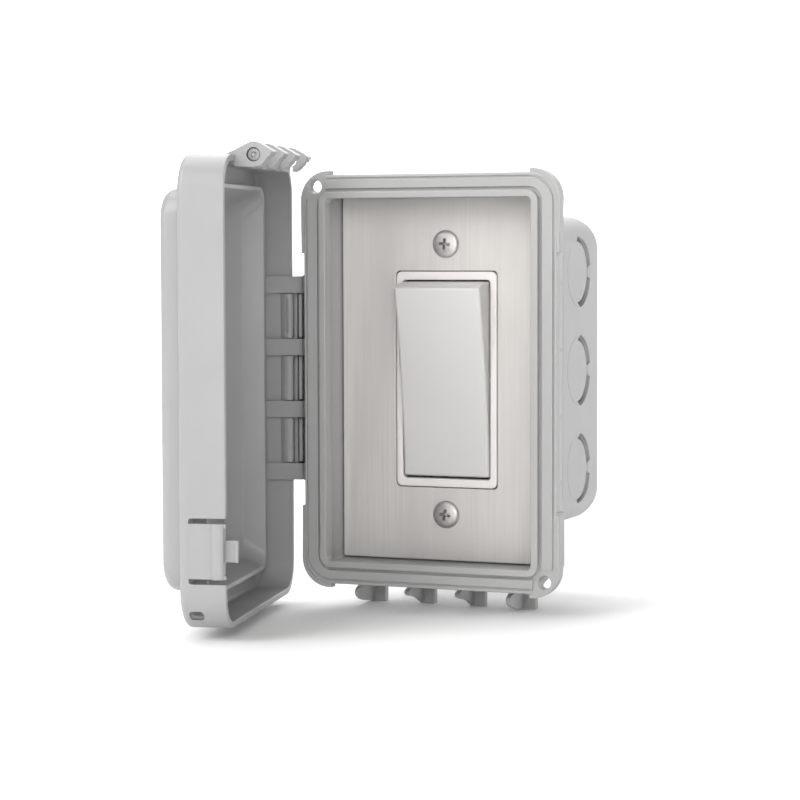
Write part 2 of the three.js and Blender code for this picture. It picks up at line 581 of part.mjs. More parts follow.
function makeLidShell() {
  const shell = cut(lidOuter(), lidHollows());
  const tongueCut = block(LID.halfW - LID.wall - 0.3, LID.halfW + 3, TONGUE.root, LID.rim + 1,
    TONGUE.bottom - TONGUE.slot, TONGUE.top + TONGUE.slot);
  const drain = block(LID.halfW - LID.wall - 0.3, LID.halfW + 3, DRAIN_SLOT.front, DRAIN_SLOT.back,
    DRAIN_SLOT.bottom, DRAIN_SLOT.top);
  return cut(union([shell, ...makeHingeClips(), ...makeTopClips()]), [tongueCut, drain]);
}

function makeSparePin() {
  const x = TOP_CLIP.x[0] - TOP_CLIP.width / 2;
  return rodX(TOP_CLIP.inner - GAP, x + 1.2 + GAP, x + TOP_CLIP.width - 0.6, TOP_CLIP.depth, TOP_CLIP.z);
}

function makeLatchTongue() {
  const inner = LID.halfW - LID.wall;
  const plate = block(inner, LID.halfW, TONGUE.root + GAP, LID.rim, TONGUE.bottom, TONGUE.top);
  const grip = block(LID.halfW - 0.5, LID.halfW + 0.9, 2.8, 6.2, TONGUE.bottom, TONGUE.top);
  const tab = block(inner, LID.halfW - 0.3, LID.rim - 1, TONGUE_TAB.end, TONGUE_TAB.bottom, TONGUE_TAB.top);
  const nose = block(TONGUE_TAB.nose, inner + 0.5, KEEPER.back + GAP, 8.6, TONGUE_TAB.bottom, TONGUE_TAB.top);
  return union([plate, grip, tab, nose]);
}

// ---- assembly ----
addMesh(model, 'wall_box', makeWallBox(), boxPlastic);
addMesh(model, 'box_gasket', makeBoxGasket(), gasketFoam);
addMesh(model, 'cover_frame', makeCoverFrame(), framePlastic);
addMesh(model, 'hinge_rod', rodZ(HINGE.rod, -HINGE.rodHalf, HINGE.rodHalf, HINGE.x, HINGE.depth), zinc);
addMesh(model, 'faceplate', makeFaceplate(), steel);
addMesh(model, 'faceplate_screw_top', makeScrew(BOX_SCREW_Z), steel);
addMesh(model, 'faceplate_screw_bottom', makeScrew(-BOX_SCREW_Z), steel);
addMesh(model, 'faceplate_gasket', makePlateGasket(), gasketFoam);
addMesh(model, 'switch_bezel', makeBezel(), whitePlastic);
addMesh(model, 'mounting_strap', makeStrap(), zinc);
addMesh(model, 'switch_housing', makeHousing(), housingPlastic);
addMesh(model, 'terminal_plate_upper', makeTerminalPlate(1), brass);
addMesh(model, 'terminal_plate_lower', makeTerminalPlate(-1), brass);
addMesh(model, 'terminal_screw_upper', makeTerminalScrew(1), brass);
addMesh(model, 'terminal_screw_lower', makeTerminalScrew(-1), brass);
addMesh(model, 'ground_screw', makeGroundScrew(), greenScrew);
addMesh(model, 'fixed_contact', makeFixedContact(), silver);

// a group whose own origin lies on a joint axis, with its contents kept in their drawn place
function pivotGroup(x, y, z) {
  const group = new THREE.Group();
  group.position.set(x, y, z);
  const inner = new THREE.Group();
  inner.position.set(-x, -y, -z);
  group.add(inner);
  model.add(group);
  return [group, inner];
}

const [rockerPivot, rockerParts] = pivotGroup(0, yAt(ROCKER.pivot), 0);
rockerPivot.rotation.x = rad(ROCKER.tilt);
addMesh(rockerParts, 'rocker_paddle', makePaddle(), rockerPlastic);
addMesh(rockerParts, 'contact_plunger', makePlunger(), nylon);
addMesh(rockerParts, 'plunger_spring', makePlungerSpring(), springSteel);

const [bridgePivot, bridgeParts] = pivotGroup(0, yAt(BRIDGE.depth + BRIDGE.thickness / 2), 0);
bridgePivot.rotation.x = rad(-BRIDGE.tilt);
const bridgePlate = block(-BRIDGE.halfW, BRIDGE.halfW, BRIDGE.depth, BRIDGE.depth + BRIDGE.thickness,
  -BRIDGE.halfL, BRIDGE.halfL);
addMesh(bridgeParts, 'contact_bridge', bridgePlate, brass);

const [lidPivot, lidParts] = pivotGroup(HINGE.x, yAt(HINGE.depth), 0);
lidPivot.rotation.z = rad(-OPEN_ANGLE);
addMesh(lidParts, 'lid_shell', makeLidShell(), lidPlastic);
addMesh(lidParts, 'latch_tongue', makeLatchTongue(), lidPlastic);
addMesh(lidParts, 'spare_hinge_pin', makeSparePin(), zinc);

export default model;
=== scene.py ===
"""Looks of the weatherproof rocker wall switch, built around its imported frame.

Shapes are drawn in millimetres in the frame's axes. A depth is counted back towards the wall from the datum
plane of the cover frame's face, so the wall is at 62. Lid and latch shapes are drawn with the lid closed, and
are then turned open about the hinge.
"""
import json
import math

import bmesh
import bpy
from mathutils import Matrix, Vector


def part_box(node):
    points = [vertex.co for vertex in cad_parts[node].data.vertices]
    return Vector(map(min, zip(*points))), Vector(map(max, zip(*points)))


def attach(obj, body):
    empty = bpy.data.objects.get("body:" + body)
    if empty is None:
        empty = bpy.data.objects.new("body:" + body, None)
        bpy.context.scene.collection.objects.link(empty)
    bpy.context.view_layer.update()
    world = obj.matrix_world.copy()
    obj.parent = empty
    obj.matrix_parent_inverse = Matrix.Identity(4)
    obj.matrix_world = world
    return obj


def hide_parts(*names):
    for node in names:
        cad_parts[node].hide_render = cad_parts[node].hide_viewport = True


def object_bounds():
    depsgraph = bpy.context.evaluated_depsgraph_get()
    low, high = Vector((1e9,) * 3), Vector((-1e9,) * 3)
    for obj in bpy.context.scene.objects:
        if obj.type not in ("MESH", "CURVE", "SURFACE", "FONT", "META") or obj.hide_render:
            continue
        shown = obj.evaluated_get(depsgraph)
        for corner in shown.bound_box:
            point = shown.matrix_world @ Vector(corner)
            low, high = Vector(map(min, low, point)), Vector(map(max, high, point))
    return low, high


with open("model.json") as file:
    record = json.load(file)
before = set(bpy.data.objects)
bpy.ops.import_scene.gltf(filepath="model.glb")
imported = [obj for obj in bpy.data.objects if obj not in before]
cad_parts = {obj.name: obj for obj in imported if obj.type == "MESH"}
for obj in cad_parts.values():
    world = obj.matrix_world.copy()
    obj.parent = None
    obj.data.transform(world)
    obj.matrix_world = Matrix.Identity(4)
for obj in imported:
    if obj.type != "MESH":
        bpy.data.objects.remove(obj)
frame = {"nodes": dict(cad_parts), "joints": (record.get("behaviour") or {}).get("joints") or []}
cad_low, cad_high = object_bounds()

MM = 0.001
CORNER_STEPS = 12       # segments in a rounded corner
FILLET_STEPS = 5        # segments in a fillet
MERGE = 1e-4            # points closer than this are one point
LEAST_RADIUS = 0.02     # of a corner that is drawn sharp
JOINTS = {joint["name"]: joint for joint in frame["joints"]}


def node_box(node):
    """Lowest and highest corners of a CAD node, in millimetres."""
    low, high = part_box(node)
    return low / MM, high / MM


def mid_height(node):
    """Height of the middle of a CAD node."""
    low, high = node_box(node)
    return (low.z + high.z) / 2


FACE_Y = -62.0          # the datum plane of the frame's face; the wall is at 0
HINGE = Vector(JOINTS["lid_hinge"]["pos_m"]) / MM
HINGE_DEPTH = HINGE.y - FACE_Y
ROD_R, ROD_BORE_R = 1.85, 2.15
LID_ANGLE = math.radians(JOINTS["lid_hinge"]["range_deg"][1])
ROCKER_AXIS = Vector(JOINTS["rocker_pivot"]["pos_m"]) / MM
ROCKER_PIVOT = ROCKER_AXIS.y - FACE_Y
ROCKER_TILT = -math.radians(JOINTS["rocker_pivot"]["range_deg"][0]) / 2


def turned(centre, axis, angle):
    """A turn about an axis through a point."""
    return Matrix.Translation(centre) @ Matrix.Rotation(angle, 4, axis) @ Matrix.Translation(-centre)


LID_OPEN = turned(HINGE, "Z", -LID_ANGLE)
ROCKER_REST = turned(ROCKER_AXIS, "X", ROCKER_TILT)


# ---------------------------------------------------------------- solids

def rounded_loop(half_w, half_h, radius, depth, middle_z):
    """Points of a rounded rectangle at one depth."""
    radius = max(radius, LEAST_RADIUS)
    points = []
    for side_x, side_z, start in ((1, -1, -90), (1, 1, 0), (-1, 1, 90), (-1, -1, 180)):
        for step in range(CORNER_STEPS + 1):
            angle = math.radians(start + 90 * step / CORNER_STEPS)
            x = side_x * (half_w - radius) + radius * math.cos(angle)
            z = side_z * (half_h - radius) + radius * math.sin(angle)
            points.append((x, FACE_Y + depth, middle_z + z))
    return points


def rounded_corner(before, corner, after, size):
    """The rows of a fillet, along a conic arc. A row is half width, half height, corner radius and depth."""
    back = before - corner
    ahead = after - corner
    length_back = math.hypot(back[0], back[3])
    length_ahead = math.hypot(ahead[0], ahead[3])
    # a fillet takes less than half of each edge, so that neighbours never meet
    reach = min(size, 0.49 * length_back, 0.49 * length_ahead)
    first = corner + back * (reach / length_back)
    last = corner + ahead * (reach / length_ahead)
    dot = (back[0] * ahead[0] + back[3] * ahead[3]) / (length_back * length_ahead)
    weight = math.sin(math.acos(max(-1.0, min(1.0, dot))) / 2)
    rows = []
    for step in range(FILLET_STEPS + 1):
        t = step / FILLET_STEPS
        a = (1 - t) ** 2
        b = 2 * t * (1 - t) * weight
        c = t * t
        rows.append((first * a + corner * b + last * c) / (a + b + c))
    return rows


def soften(profile, closed):
    """Rounds the corners of a profile of (half width, half height, corner radius, depth, fillet)."""
    rows = [Vector(row[:4]) for row in profile]
    count = len(rows)
    out = []
    for i, row in enumerate(profile):
        at_end = not closed and i in (0, count - 1)
        if at_end or row[4] == 0:
            out.append(rows[i])
        else:
            out += rounded_corner(rows[i - 1], rows[i], rows[(i + 1) % count], row[4])
    return out


def closed_mesh(bm):
    """Merges double points and turns all faces outward."""
    bmesh.ops.remove_doubles(bm, verts=bm.verts, dist=MERGE)
    bmesh.ops.dissolve_degenerate(bm, edges=bm.edges, dist=MERGE)
    bmesh.ops.recalc_face_normals(bm, faces=bm.faces)
    return bm


def sweep(profile, closed=False, middle_z=0.0):
    """A solid whose section runs around a rounded rectangle. An open profile ends in flat caps."""
    rows = soften(profile, closed)
    bm = bmesh.new()
    loops = [[bm.verts.new(p) for p in rounded_loop(*row, middle_z)] for row in rows]
    pairs = list(zip(loops, loops[1:]))
    if closed:
        pairs.append((loops[-1], loops[0]))
    for near, far in pairs:
        for i in range(len(near)):
            j = (i + 1) % len(near)
            bm.faces.new((near[i], near[j], far[j], far[i]))
    if not closed:
        bm.faces.new(loops[0])
        bm.faces.new(loops[-1])
    return closed_mesh(bm)


def block(x0, x1, front, back, z0, z1, bevel, segments=2):
    """A box with all of its edges rounded."""
    bm = bmesh.new()
    bmesh.ops.create_cube(bm, size=1)
    scale = Matrix.Diagonal((x1 - x0, back - front, z1 - z0, 1))
    place = Matrix.Translation(((x0 + x1) / 2, FACE_Y + (front + back) / 2, (z0 + z1) / 2))
    bmesh.ops.transform(bm, matrix=place @ scale, verts=bm.verts)
    bmesh.ops.bevel(bm, geom=bm.edges[:], offset=bevel, segments=segments, profile=0.5, affect="EDGES")
    return closed_mesh(bm)


AXES = {
    # section axes and length axis of a prism or lathe, as columns
    "X": Matrix(((0, 0, 1), (1, 0, 0), (0, 1, 0))).to_4x4(),   # section in depth and height, length along X
    "Y": Matrix(((1, 0, 0), (0, 0, 1), (0, 1, 0))).to_4x4(),   # section in X and height, length along depth
    "Z": Matrix(((1, 0, 0), (0, 1, 0), (0, 0, 1))).to_4x4(),   # section in X and depth, length along Z
}


def placed(bm, axis, origin):
    """Turns a solid drawn about +Z to its axis, and moves it to (x, depth, z)."""
    x, depth, z = origin
    bmesh.ops.transform(bm, matrix=Matrix.Translation((x, FACE_Y + depth, z)) @ AXES[axis], verts=bm.verts)
    return closed_mesh(bm)


def prism(outline, axis, start, end, bevel=0.0, origin=(0, 0, 0)):
    """An outline of two-dimensional points, extruded along an axis, with rounded end edges."""
    bm = bmesh.new()
    low = [bm.verts.new((u, v, start)) for u, v in outline]
    high = [bm.verts.new((u, v, end)) for u, v in outline]
    for i in range(len(outline)):
        j = (i + 1) % len(outline)
        bm.faces.new((low[i], low[j], high[j], high[i]))
    caps = [bm.faces.new(low), bm.faces.new(high)]
    if bevel > 0:
        rims = [edge for cap in caps for edge in cap.edges]
        bmesh.ops.bevel(bm, geom=rims, offset=bevel, segments=2, profile=0.5, affect="EDGES",
                        clamp_overlap=True)
    return placed(bm, axis, origin)


def lathe(profile, axis, origin, segments=40):
    """A solid of revolution. The profile holds (radius, height) points and starts and ends on the axis."""
    bm = bmesh.new()
    angles = [2 * math.pi * i / segments for i in range(segments)]
    loops = []
    for radius, height in profile:
        if radius < MERGE:
            loops.append([bm.verts.new((0, 0, height))])
        else:
            loops.append([bm.verts.new((radius * math.cos(a), radius * math.sin(a), height)) for a in angles])
    for near, far in zip(loops, loops[1:]):
        for i in range(segments):
            j = (i + 1) % segments
            corners = [near[i % len(near)], near[j % len(near)], far[j % len(far)], far[i % len(far)]]
            unique = list(dict.fromkeys(corners))
            if len(unique) > 2:
                bm.faces.new(unique)
    return placed(bm, axis, origin)


def arc(centre_u, centre_v, radius, start, end, steps):
    """Points of an arc, with angles in degrees."""
    angles = [math.radians(start + (end - start) * i / steps) for i in range(steps + 1)]
    return [(centre_u + radius * math.cos(a), centre_v + radius * math.sin(a)) for a in angles]


def rod(radius, axis, start, end, origin, edge):
    """A round bar with rounded ends."""
    low = arc(radius - edge, start + edge, edge, -90, 0, 3)
    high = arc(radius - edge, end - edge, edge, 0, 90, 3)
    return lathe([(0, start), *low, *high, (0, end)], axis, origin)


def drill(radius, axis, start, end, origin):
    """A round cutting tool with crisp ends."""
    return rod(radius, axis, start, end, origin, 0.01)


def as_object(bm, name="work"):
    """Turns a solid into a Blender object in the scene."""
    mesh = bpy.data.meshes.new(name)
    bm.to_mesh(mesh)
    bm.free()
    made = bpy.data.objects.new(name, mesh)
    bpy.context.scene.collection.objects.link(made)
    return made


def carve(base, adds=(), cuts=()):
    """Joins solids to a base solid and then cuts others from it."""
    body = as_object(base)
    tools = []
    for operation, solids in (("UNION", adds), ("DIFFERENCE", cuts)):
        for bm in solids:
            tool = as_object(bm)
            modifier = body.modifiers.new("carve", "BOOLEAN")
            modifier.operation = operation
            modifier.solver = "MANIFOLD"
            modifier.object = tool
            tools.append(tool)
    evaluated = body.evaluated_get(bpy.context.evaluated_depsgraph_get())
    mesh = bpy.data.meshes.new_from_object(evaluated)
    out = bmesh.new()
    out.from_mesh(mesh)
    for used in [body, *tools]:
        bpy.data.objects.remove(used)
    bpy.data.meshes.remove(mesh)
    return out


def piece(name, bm, material, body, stands_for=(), matrix=None, sharp=32):
    """Makes a finished piece from a solid in millimetres and hands it to its body.

    Edges that turn by more than the angle sharp, in degrees, are shaded as edges.
    """
    bmesh.ops.transform(bm, matrix=Matrix.Scale(MM, 4) @ (matrix or Matrix.Identity(4)), verts=bm.verts)
    made = as_object(bm, name)
    mesh = made.data
    mesh.polygons.foreach_set("use_smooth", [True] * len(mesh.polygons))
    mesh.set_sharp_from_angle(angle=math.radians(sharp))
    mesh.materials.append(material)
    shading = made.modifiers.new("even shading", "WEIGHTED_NORMAL")
    shading.keep_sharp = True
    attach(made, body)
    if stands_for:
        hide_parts(*stands_for)
    return made


# ---------------------------------------------------------------- materials

def new_material(name):
    """A material with its node tree, its shader, and coordinates in metres that move with the object."""
    material = bpy.data.materials.new(name)
    material.use_nodes = True
    tree = material.node_tree
    shader = tree.nodes["Principled BSDF"]
    coordinates = tree.nodes.new("ShaderNodeTexCoord")
    return material, tree, shader, coordinates.outputs["Object"]


def noise(tree, vector, scale, detail, stretch=None):
    """A noise texture. Its scale is in features per metre, and a stretch multiplies it along each axis."""
    if stretch:
        mapping = tree.nodes.new("ShaderNodeMapping")
        mapping.inputs["Scale"].default_value = stretch
        tree.links.new(vector, mapping.inputs["Vector"])
        vector = mapping.outputs["Vector"]
    texture = tree.nodes.new("ShaderNodeTexNoise")
    texture.inputs["Scale"].default_value = scale
    texture.inputs["Detail"].default_value = detail
    tree.links.new(vector, texture.inputs["Vector"])
    return texture.outputs["Fac"]


def remap(tree, value, low, high, from_low=0.3, from_high=0.7):
    """Spreads a value between two limits. Noise keeps mostly between 0.3 and 0.7."""
    node = tree.nodes.new("ShaderNodeMapRange")
    node.inputs["From Min"].default_value = from_low
    node.inputs["From Max"].default_value = from_high
    node.inputs["To Min"].default_value = low
    node.inputs["To Max"].default_value = high
    tree.links.new(value, node.inputs["Value"])
    return node.outputs["Result"]


def mixed(tree, factor, first, second):
    """A colour between two colours. Either may be an RGB triple or a socket."""
    node = tree.nodes.new("ShaderNodeMix")
    node.data_type = "RGBA"
    tree.links.new(factor, node.inputs["Factor"])
    for colour, socket in ((first, node.inputs[6]), (second, node.inputs[7])):
        if isinstance(colour, bpy.types.NodeSocket):
            tree.links.new(colour, socket)
        else:
            socket.default_value = (*colour, 1)
    return node.outputs[2]


def shade(colour, amount):
    """A darker or lighter version of a colour."""
    return tuple(min(1.0, c * amount) for c in colour)


def bump(tree, shader, height, distance, strength):
    """Relief from a height socket. The distance is in metres."""
    node = tree.nodes.new("ShaderNodeBump")
    node.inputs["Distance"].default_value = distance
    node.inputs["Strength"].default_value = strength
    tree.links.new(height, node.inputs["Height"])
    tree.links.new(node.outputs["Normal"], shader.inputs["Normal"])


def crevice(tree, reach):
    """Near 0 in tight corners and 1 on open faces. The reach is in metres."""
    node = tree.nodes.new("ShaderNodeAmbientOcclusion")
    node.inputs["Distance"].default_value = reach
    node.samples = 4
    return node.outputs["AO"]


def moulded_plastic(name, colour, roughness, grain=3200, grain_depth=0.00002, corner_shade=0.92, mottle=0.02,
                    coat=0.0):
    """Moulded plastic: soft mottling, a fine textured skin, and painted shade that darkens the tight corners.
    """
    material, tree, shader, place = new_material(name)
    patches = remap(tree, noise(tree, place, 60, 3), 0, 1)
    mottled = mixed(tree, patches, shade(colour, 1 - mottle), shade(colour, 1 + mottle))
    streaks = remap(tree, noise(tree, place, 22, 2, (1, 1, 0.35)), 0, 0.6)
    flow = mixed(tree, streaks, mottled, shade(colour, 0.99))
    # painted shade: tight corners, found by ambient occlusion, take a darker colour
    openness = remap(tree, crevice(tree, 0.004), 0, 1, 0.25, 0.85)
    tree.links.new(mixed(tree, openness, shade(colour, corner_shade), flow), shader.inputs["Base Color"])
    polish = remap(tree, noise(tree, place, 90, 3), roughness - 0.03, roughness + 0.03)
    tree.links.new(polish, shader.inputs["Roughness"])
    shader.inputs["Coat Weight"].default_value = coat
    shader.inputs["Coat Roughness"].default_value = 0.12
    bump(tree, shader, noise(tree, place, grain, 5), grain_depth, 0.6)
    return material


def brushed_metal(name, colour, roughness, stretch, band=(160, 160, 7), contrast=1.0, metallic=1.0,
                  aniso=0.0):
    """Metal with fine straight brush lines and broad faint bands along them."""
    material, tree, shader, place = new_material(name)
    lines = noise(tree, place, 1, 4, stretch)
    bands = remap(tree, noise(tree, place, 1, 3, band), 0, 1)
    base = mixed(tree, bands, shade(colour, 1 - 0.07 * contrast), shade(colour, 1 + 0.05 * contrast))
    strokes = remap(tree, lines, 0, 1, 0.25, 0.75)
    tree.links.new(mixed(tree, strokes, shade(colour, 1 - 0.1 * contrast), base), shader.inputs["Base Color"])
    polish = remap(tree, lines, roughness - 0.07 * contrast, roughness + 0.1 * contrast)
    tree.links.new(polish, shader.inputs["Roughness"])
    shader.inputs["Metallic"].default_value = metallic
    shader.inputs["Anisotropic"].default_value = aniso
    bump(tree, shader, lines, 0.000006, 0.5)
    return material


def worked_metal(name, colour, roughness):
    """Machined or plated metal: small cloudy changes in colour and polish."""
    material, tree, shader, place = new_material(name)
    cloud = noise(tree, place, 700, 5)
    tint = mixed(tree, remap(tree, cloud, 0, 1), shade(colour, 0.85), shade(colour, 1.05))
    tree.links.new(tint, shader.inputs["Base Color"])
    polish = remap(tree, noise(tree, place, 2100, 4), roughness - 0.08, roughness + 0.12)
    tree.links.new(polish, shader.inputs["Roughness"])
    shader.inputs["Metallic"].default_value = 1.0
    bump(tree, shader, cloud, 0.00002, 0.3)
    return material


def foam(name, colour):
    """Closed-cell foam: small pits, with painted shade that darkens their bottoms."""
    material, tree, shader, place = new_material(name)
    cells = tree.nodes.new("ShaderNodeTexVoronoi")
    cells.inputs["Scale"].default_value = 1500
    tree.links.new(place, cells.inputs["Vector"])
    pits = cells.outputs["Distance"]
    # painted shade: the colour is darker at the bottom of each pit
    tint = mixed(tree, remap(tree, pits, 0, 1, 0.1, 0.6), shade(colour, 0.7), shade(colour, 1.3))
    tree.links.new(tint, shader.inputs["Base Color"])
    shader.inputs["Roughness"].default_value = 0.9
    bump(tree, shader, pits, 0.0002, 0.6)
    return material


FRAME_GREY = (0.365, 0.362, 0.360)
LID_GREY = (0.325, 0.325, 0.325)
BOX_GREY = (0.40, 0.40, 0.40)
BEZEL_WHITE = (0.79, 0.755, 0.735)
ROCKER_WHITE = (0.62, 0.61, 0.595)
STAINLESS = (0.70, 0.68, 0.655)
FINE_GRAIN = 0.000006   # depth of the skin on the smooth white parts, in metres

frame_plastic = moulded_plastic("frame_plastic", FRAME_GREY, 0.42)
lid_plastic = moulded_plastic("lid_plastic", LID_GREY, 0.44, corner_shade=0.9, coat=0.15)
box_plastic = moulded_plastic("box_plastic", BOX_GREY, 0.5, grain=2400, grain_depth=0.00004)
bezel_plastic = moulded_plastic("bezel_plastic", BEZEL_WHITE, 0.32, grain_depth=FINE_GRAIN, corner_shade=0.97,
                                mottle=0.01)
rocker_plastic = moulded_plastic("rocker_plastic", ROCKER_WHITE, 0.34, grain_depth=FINE_GRAIN, corner_shade=0.97,
                                 mottle=0.01)
housing_plastic = moulded_plastic("housing_plastic", (0.32, 0.32, 0.33), 0.5)
nylon = moulded_plastic("nylon", (0.78, 0.76, 0.68), 0.45)
plate_steel = brushed_metal("plate_steel", STAINLESS, 0.47, (3000, 3000, 30), band=(70, 70, 24), contrast=1.2,
                            metallic=0.5, aniso=0.4)
screw_steel = worked_metal("screw_steel", (0.60, 0.585, 0.57), 0.52)
zinc_steel = worked_metal("zinc_steel", (0.28, 0.285, 0.29), 0.48)
brass = worked_metal("brass", (0.72, 0.55, 0.24), 0.32)
green_screw = worked_metal("green_screw", (0.10, 0.34, 0.15), 0.4)
silver_contact = worked_metal("silver_contact", (0.84, 0.84, 0.82), 0.28)
spring_steel = brushed_metal("spring_steel", (0.42, 0.43, 0.44), 0.3, (1800, 1800, 1800))
gasket_foam = foam("gasket_foam", (0.045, 0.045, 0.045))


# ---------------------------------------------------------------- cover frame

# rounded rectangles of the frame's section, each (half width, half height, corner radius)
OPENING = (33.4, 55.6, 1.5)
RING = (35.6, 57.7, 3.4)
GROOVE = (36.5, 58.6, 4.3)
BAND = (39.9, 61.3, 7.2)
BAND_FOOT = (40.0, 61.4, 7.3)
LIP_FOOT = (40.3, 61.8, 7.5)
LIP = (40.45, 62.0, 7.6)
FLANGE = (41.2, 62.9, 8.2)
TUB_ROOT = (39.4, 60.6, 4.0)
TUB = (35.6, 56.8, 3.0)
TUB_INSIDE = (34.7, 55.9, 1.0)
TUB_MOUTH = (37.0, 58.2, 1.4)
LEDGE = (33.6, 55.9, 1.5)
DEVICE_OPENING = (20.5, 34.2, 0.6)

# depths of the frame's section
RING_FRONT, BAND_FRONT, LIP_FRONT, FLANGE_FRONT = -0.8, 0.3, 0.62, 0.72
GROOVE_FLOOR, STEP_FLOOR = 1.1, 1.05
LEDGE_FRONT, LEDGE_BACK, FLANGE_BACK = 3.0, 4.0, 4.2
TUB_FLOOR, TUB_BACK = 20.4, 22.4

SCREW_Z = mid_height("faceplate_screw_top")
EAR_HALF_W, EAR_HALF_H, EAR_ROUND = 42.2, 64.1, 9.0
EAR_INSIDE = ((42.2, 38.9), (38, 38.9), (36.5, 50), (34, 57))
EAR_FRONT, PAD_FLOOR = 0.9, 0.88
PAD = ((60, 55.4), (36.4, 55.4), (33.7, 57.8), (33.7, 80), (60, 80))
PAD_HOLE = (37.3, 59.3)
PAD_HOLE_R = 2.05
KEEPER_LOW, KEEPER_HIGH = -54.8, -38.2
BRACKET_Z = (-19.45, 0.0, 19.45)
BRACKET_HALF = 6.8
STIFFENER_Z = (-30.0, -10.0, 10.0, 30.0)

# noses of the spare hooks, each point (depth, height above the hook's lowest point)
HOOK_LOW = node_box("cover_frame")[0].z
HOOK_HALF = 2.5
BLUNT_NOSE = ((16.5, 0.5), (12.0, 1.3), (9.6, 2.0), (8.0, 3.0), (7.3, 4.2), (7.7, 5.2), (9.2, 5.9),
              (12.0, 6.2))
BEAKED_NOSE = ((19.2, 0.9), (17.1, 1.9), (14.4, 2.8), (11.7, 3.4), (9.4, 3.8), (7.9, 4.3), (7.3, 5.0),
               (7.7, 5.6), (9.2, 6.1), (12.0, 6.4))
HOOKS = ((-25.0, BLUNT_NOSE), (-8.35, BEAKED_NOSE), (8.35, BEAKED_NOSE), (25.0, BLUNT_NOSE))


def frame_shell():
    """The face ring, its groove, band and flange, and the tub behind them, as one section."""
    return sweep([
        (*OPENING, RING_FRONT, 0.35), (*RING, RING_FRONT, 0.4), (*RING, GROOVE_FLOOR, 0.15),
        (*GROOVE, GROOVE_FLOOR, 0.15), (*GROOVE, BAND_FRONT, 0.25), (*BAND, BAND_FRONT, 0.25),
        (*BAND_FOOT, STEP_FLOOR, 0.1), (*LIP_FOOT, STEP_FLOOR, 0.1), (*LIP, LIP_FRONT, 0.15),
        (*FLANGE, FLANGE_FRONT, 0.5), (*FLANGE, FLANGE_BACK, 0.4), (*TUB_ROOT, FLANGE_BACK, 0.6),
        (*TUB, TUB_BACK, 0.8), (*DEVICE_OPENING, TUB_BACK, 0.2), (*DEVICE_OPENING, TUB_FLOOR, 0.2),
        (*TUB_INSIDE, TUB_FLOOR, 0.5), (*TUB_MOUTH, FLANGE_BACK, 0.3), (*LEDGE, LEDGE_BACK, 0.3),
        (*OPENING, LEDGE_FRONT, 0.3),
    ], closed=True)


def ears():
    """Four corner pads that reach past the flange's outline, as quarters of one larger plate."""
    outline = [(32.4, 60), (32.4, EAR_HALF_H)]
    outline += arc(EAR_HALF_W - EAR_ROUND, EAR_HALF_H - EAR_ROUND, EAR_ROUND, 90, 0, 16)
    outline += EAR_INSIDE
    out = []
    for side_x in (1, -1):
        for side_z in (1, -1):
            corner = [(side_x * x, side_z * z) for x, z in outline]
            out.append(prism(corner, "Y", EAR_FRONT, FLANGE_BACK, 0.35))
    return out


def hook(x, nose):
    """A spare hook: a short block under the tub with a forward rib at its left end."""
    bar_front, bar_back, bar_top = 20.2, 22.8, -56.6
    rib_front, rib_back, rib_top = 13.2, 21.2, -58
    bar = block(x - HOOK_HALF, x + HOOK_HALF, bar_front, bar_back, HOOK_LOW, bar_top, 0.3)
    outline = [(rib_back, rib_top), (rib_back, HOOK_LOW)]
    outline += [(depth, HOOK_LOW + height) for depth, height in nose]
    outline.append((rib_front, rib_top))
    return [bar, prism(outline, "X", x - HOOK_HALF, x - 0.9, 0.25)]


def hinge_brackets():
    """Hooks on the left edge that hold the hinge rod from behind, in the gaps between the lid's straps."""
    outline = arc(HINGE.x, HINGE_DEPTH, 3.1, 90, 208, 16) + arc(HINGE.x, HINGE_DEPTH, 2.0, 208, 110, 10)
    root_x = -36.2
    outline += [(HINGE.x + 2.6, HINGE_DEPTH + 1.6), (root_x, HINGE_DEPTH + 1.6)]
    outline += [(root_x, HINGE_DEPTH + 4.4), (root_x - 2.2, HINGE_DEPTH + 3.1)]
    return [prism(outline, "Z", z - BRACKET_HALF, z + BRACKET_HALF, 0.2) for z in BRACKET_Z]


def latch_keeper():
    """The bar on the right edge that the latch's hook closes behind."""
    outline = [(35.9, 1.0), (41.2, 1.0), (41.9, 1.7), (41.9, 5.9), (41.4, 6.4), (35.9, 6.4)]
    return prism(outline, "Z", KEEPER_LOW, KEEPER_HIGH, 0.35)


def frame_cuts():
    """Two cut-away corners with screw holes, the plate screws' holes, and the bore for the hinge rod."""
    corners = (-1, 1)       # upper left and lower right
    cuts = [prism([(side * x, -side * z) for x, z in PAD], "Y", -4, PAD_FLOOR) for side in corners]
    hole = [(0, -2), (PAD_HOLE_R + 0.3, -2), (PAD_HOLE_R + 0.3, PAD_FLOOR), (PAD_HOLE_R, 1.15),
            (PAD_HOLE_R, 30), (0, 30)]
    cuts += [lathe(hole, "Y", (side * PAD_HOLE[0], 0, -side * PAD_HOLE[1])) for side in corners]
    cuts += [drill(2.4, "Y", 10, 30, (0, 0, side * SCREW_Z)) for side in (1, -1)]
    cuts.append(drill(ROD_BORE_R, "Z", -45, 45, (HINGE.x, HINGE_DEPTH, 0)))
    return cuts


def make_cover_frame():
    adds = ears() + hinge_brackets() + [latch_keeper()]
    for x, nose in HOOKS:
        adds += hook(x, nose)
    # stiffeners under the flange, between the tub and the rim
    for z in STIFFENER_Z:
        adds.append(block(36.5, 40.4, FLANGE_BACK - 0.4, 8.6, z - 0.6, z + 0.6, 0.2))
    frame_solid = carve(frame_shell(), adds, frame_cuts())
    piece("cover_frame_moulding", frame_solid, frame_plastic, "base", ["cover_frame"])


# ---------------------------------------------------------------- wall box

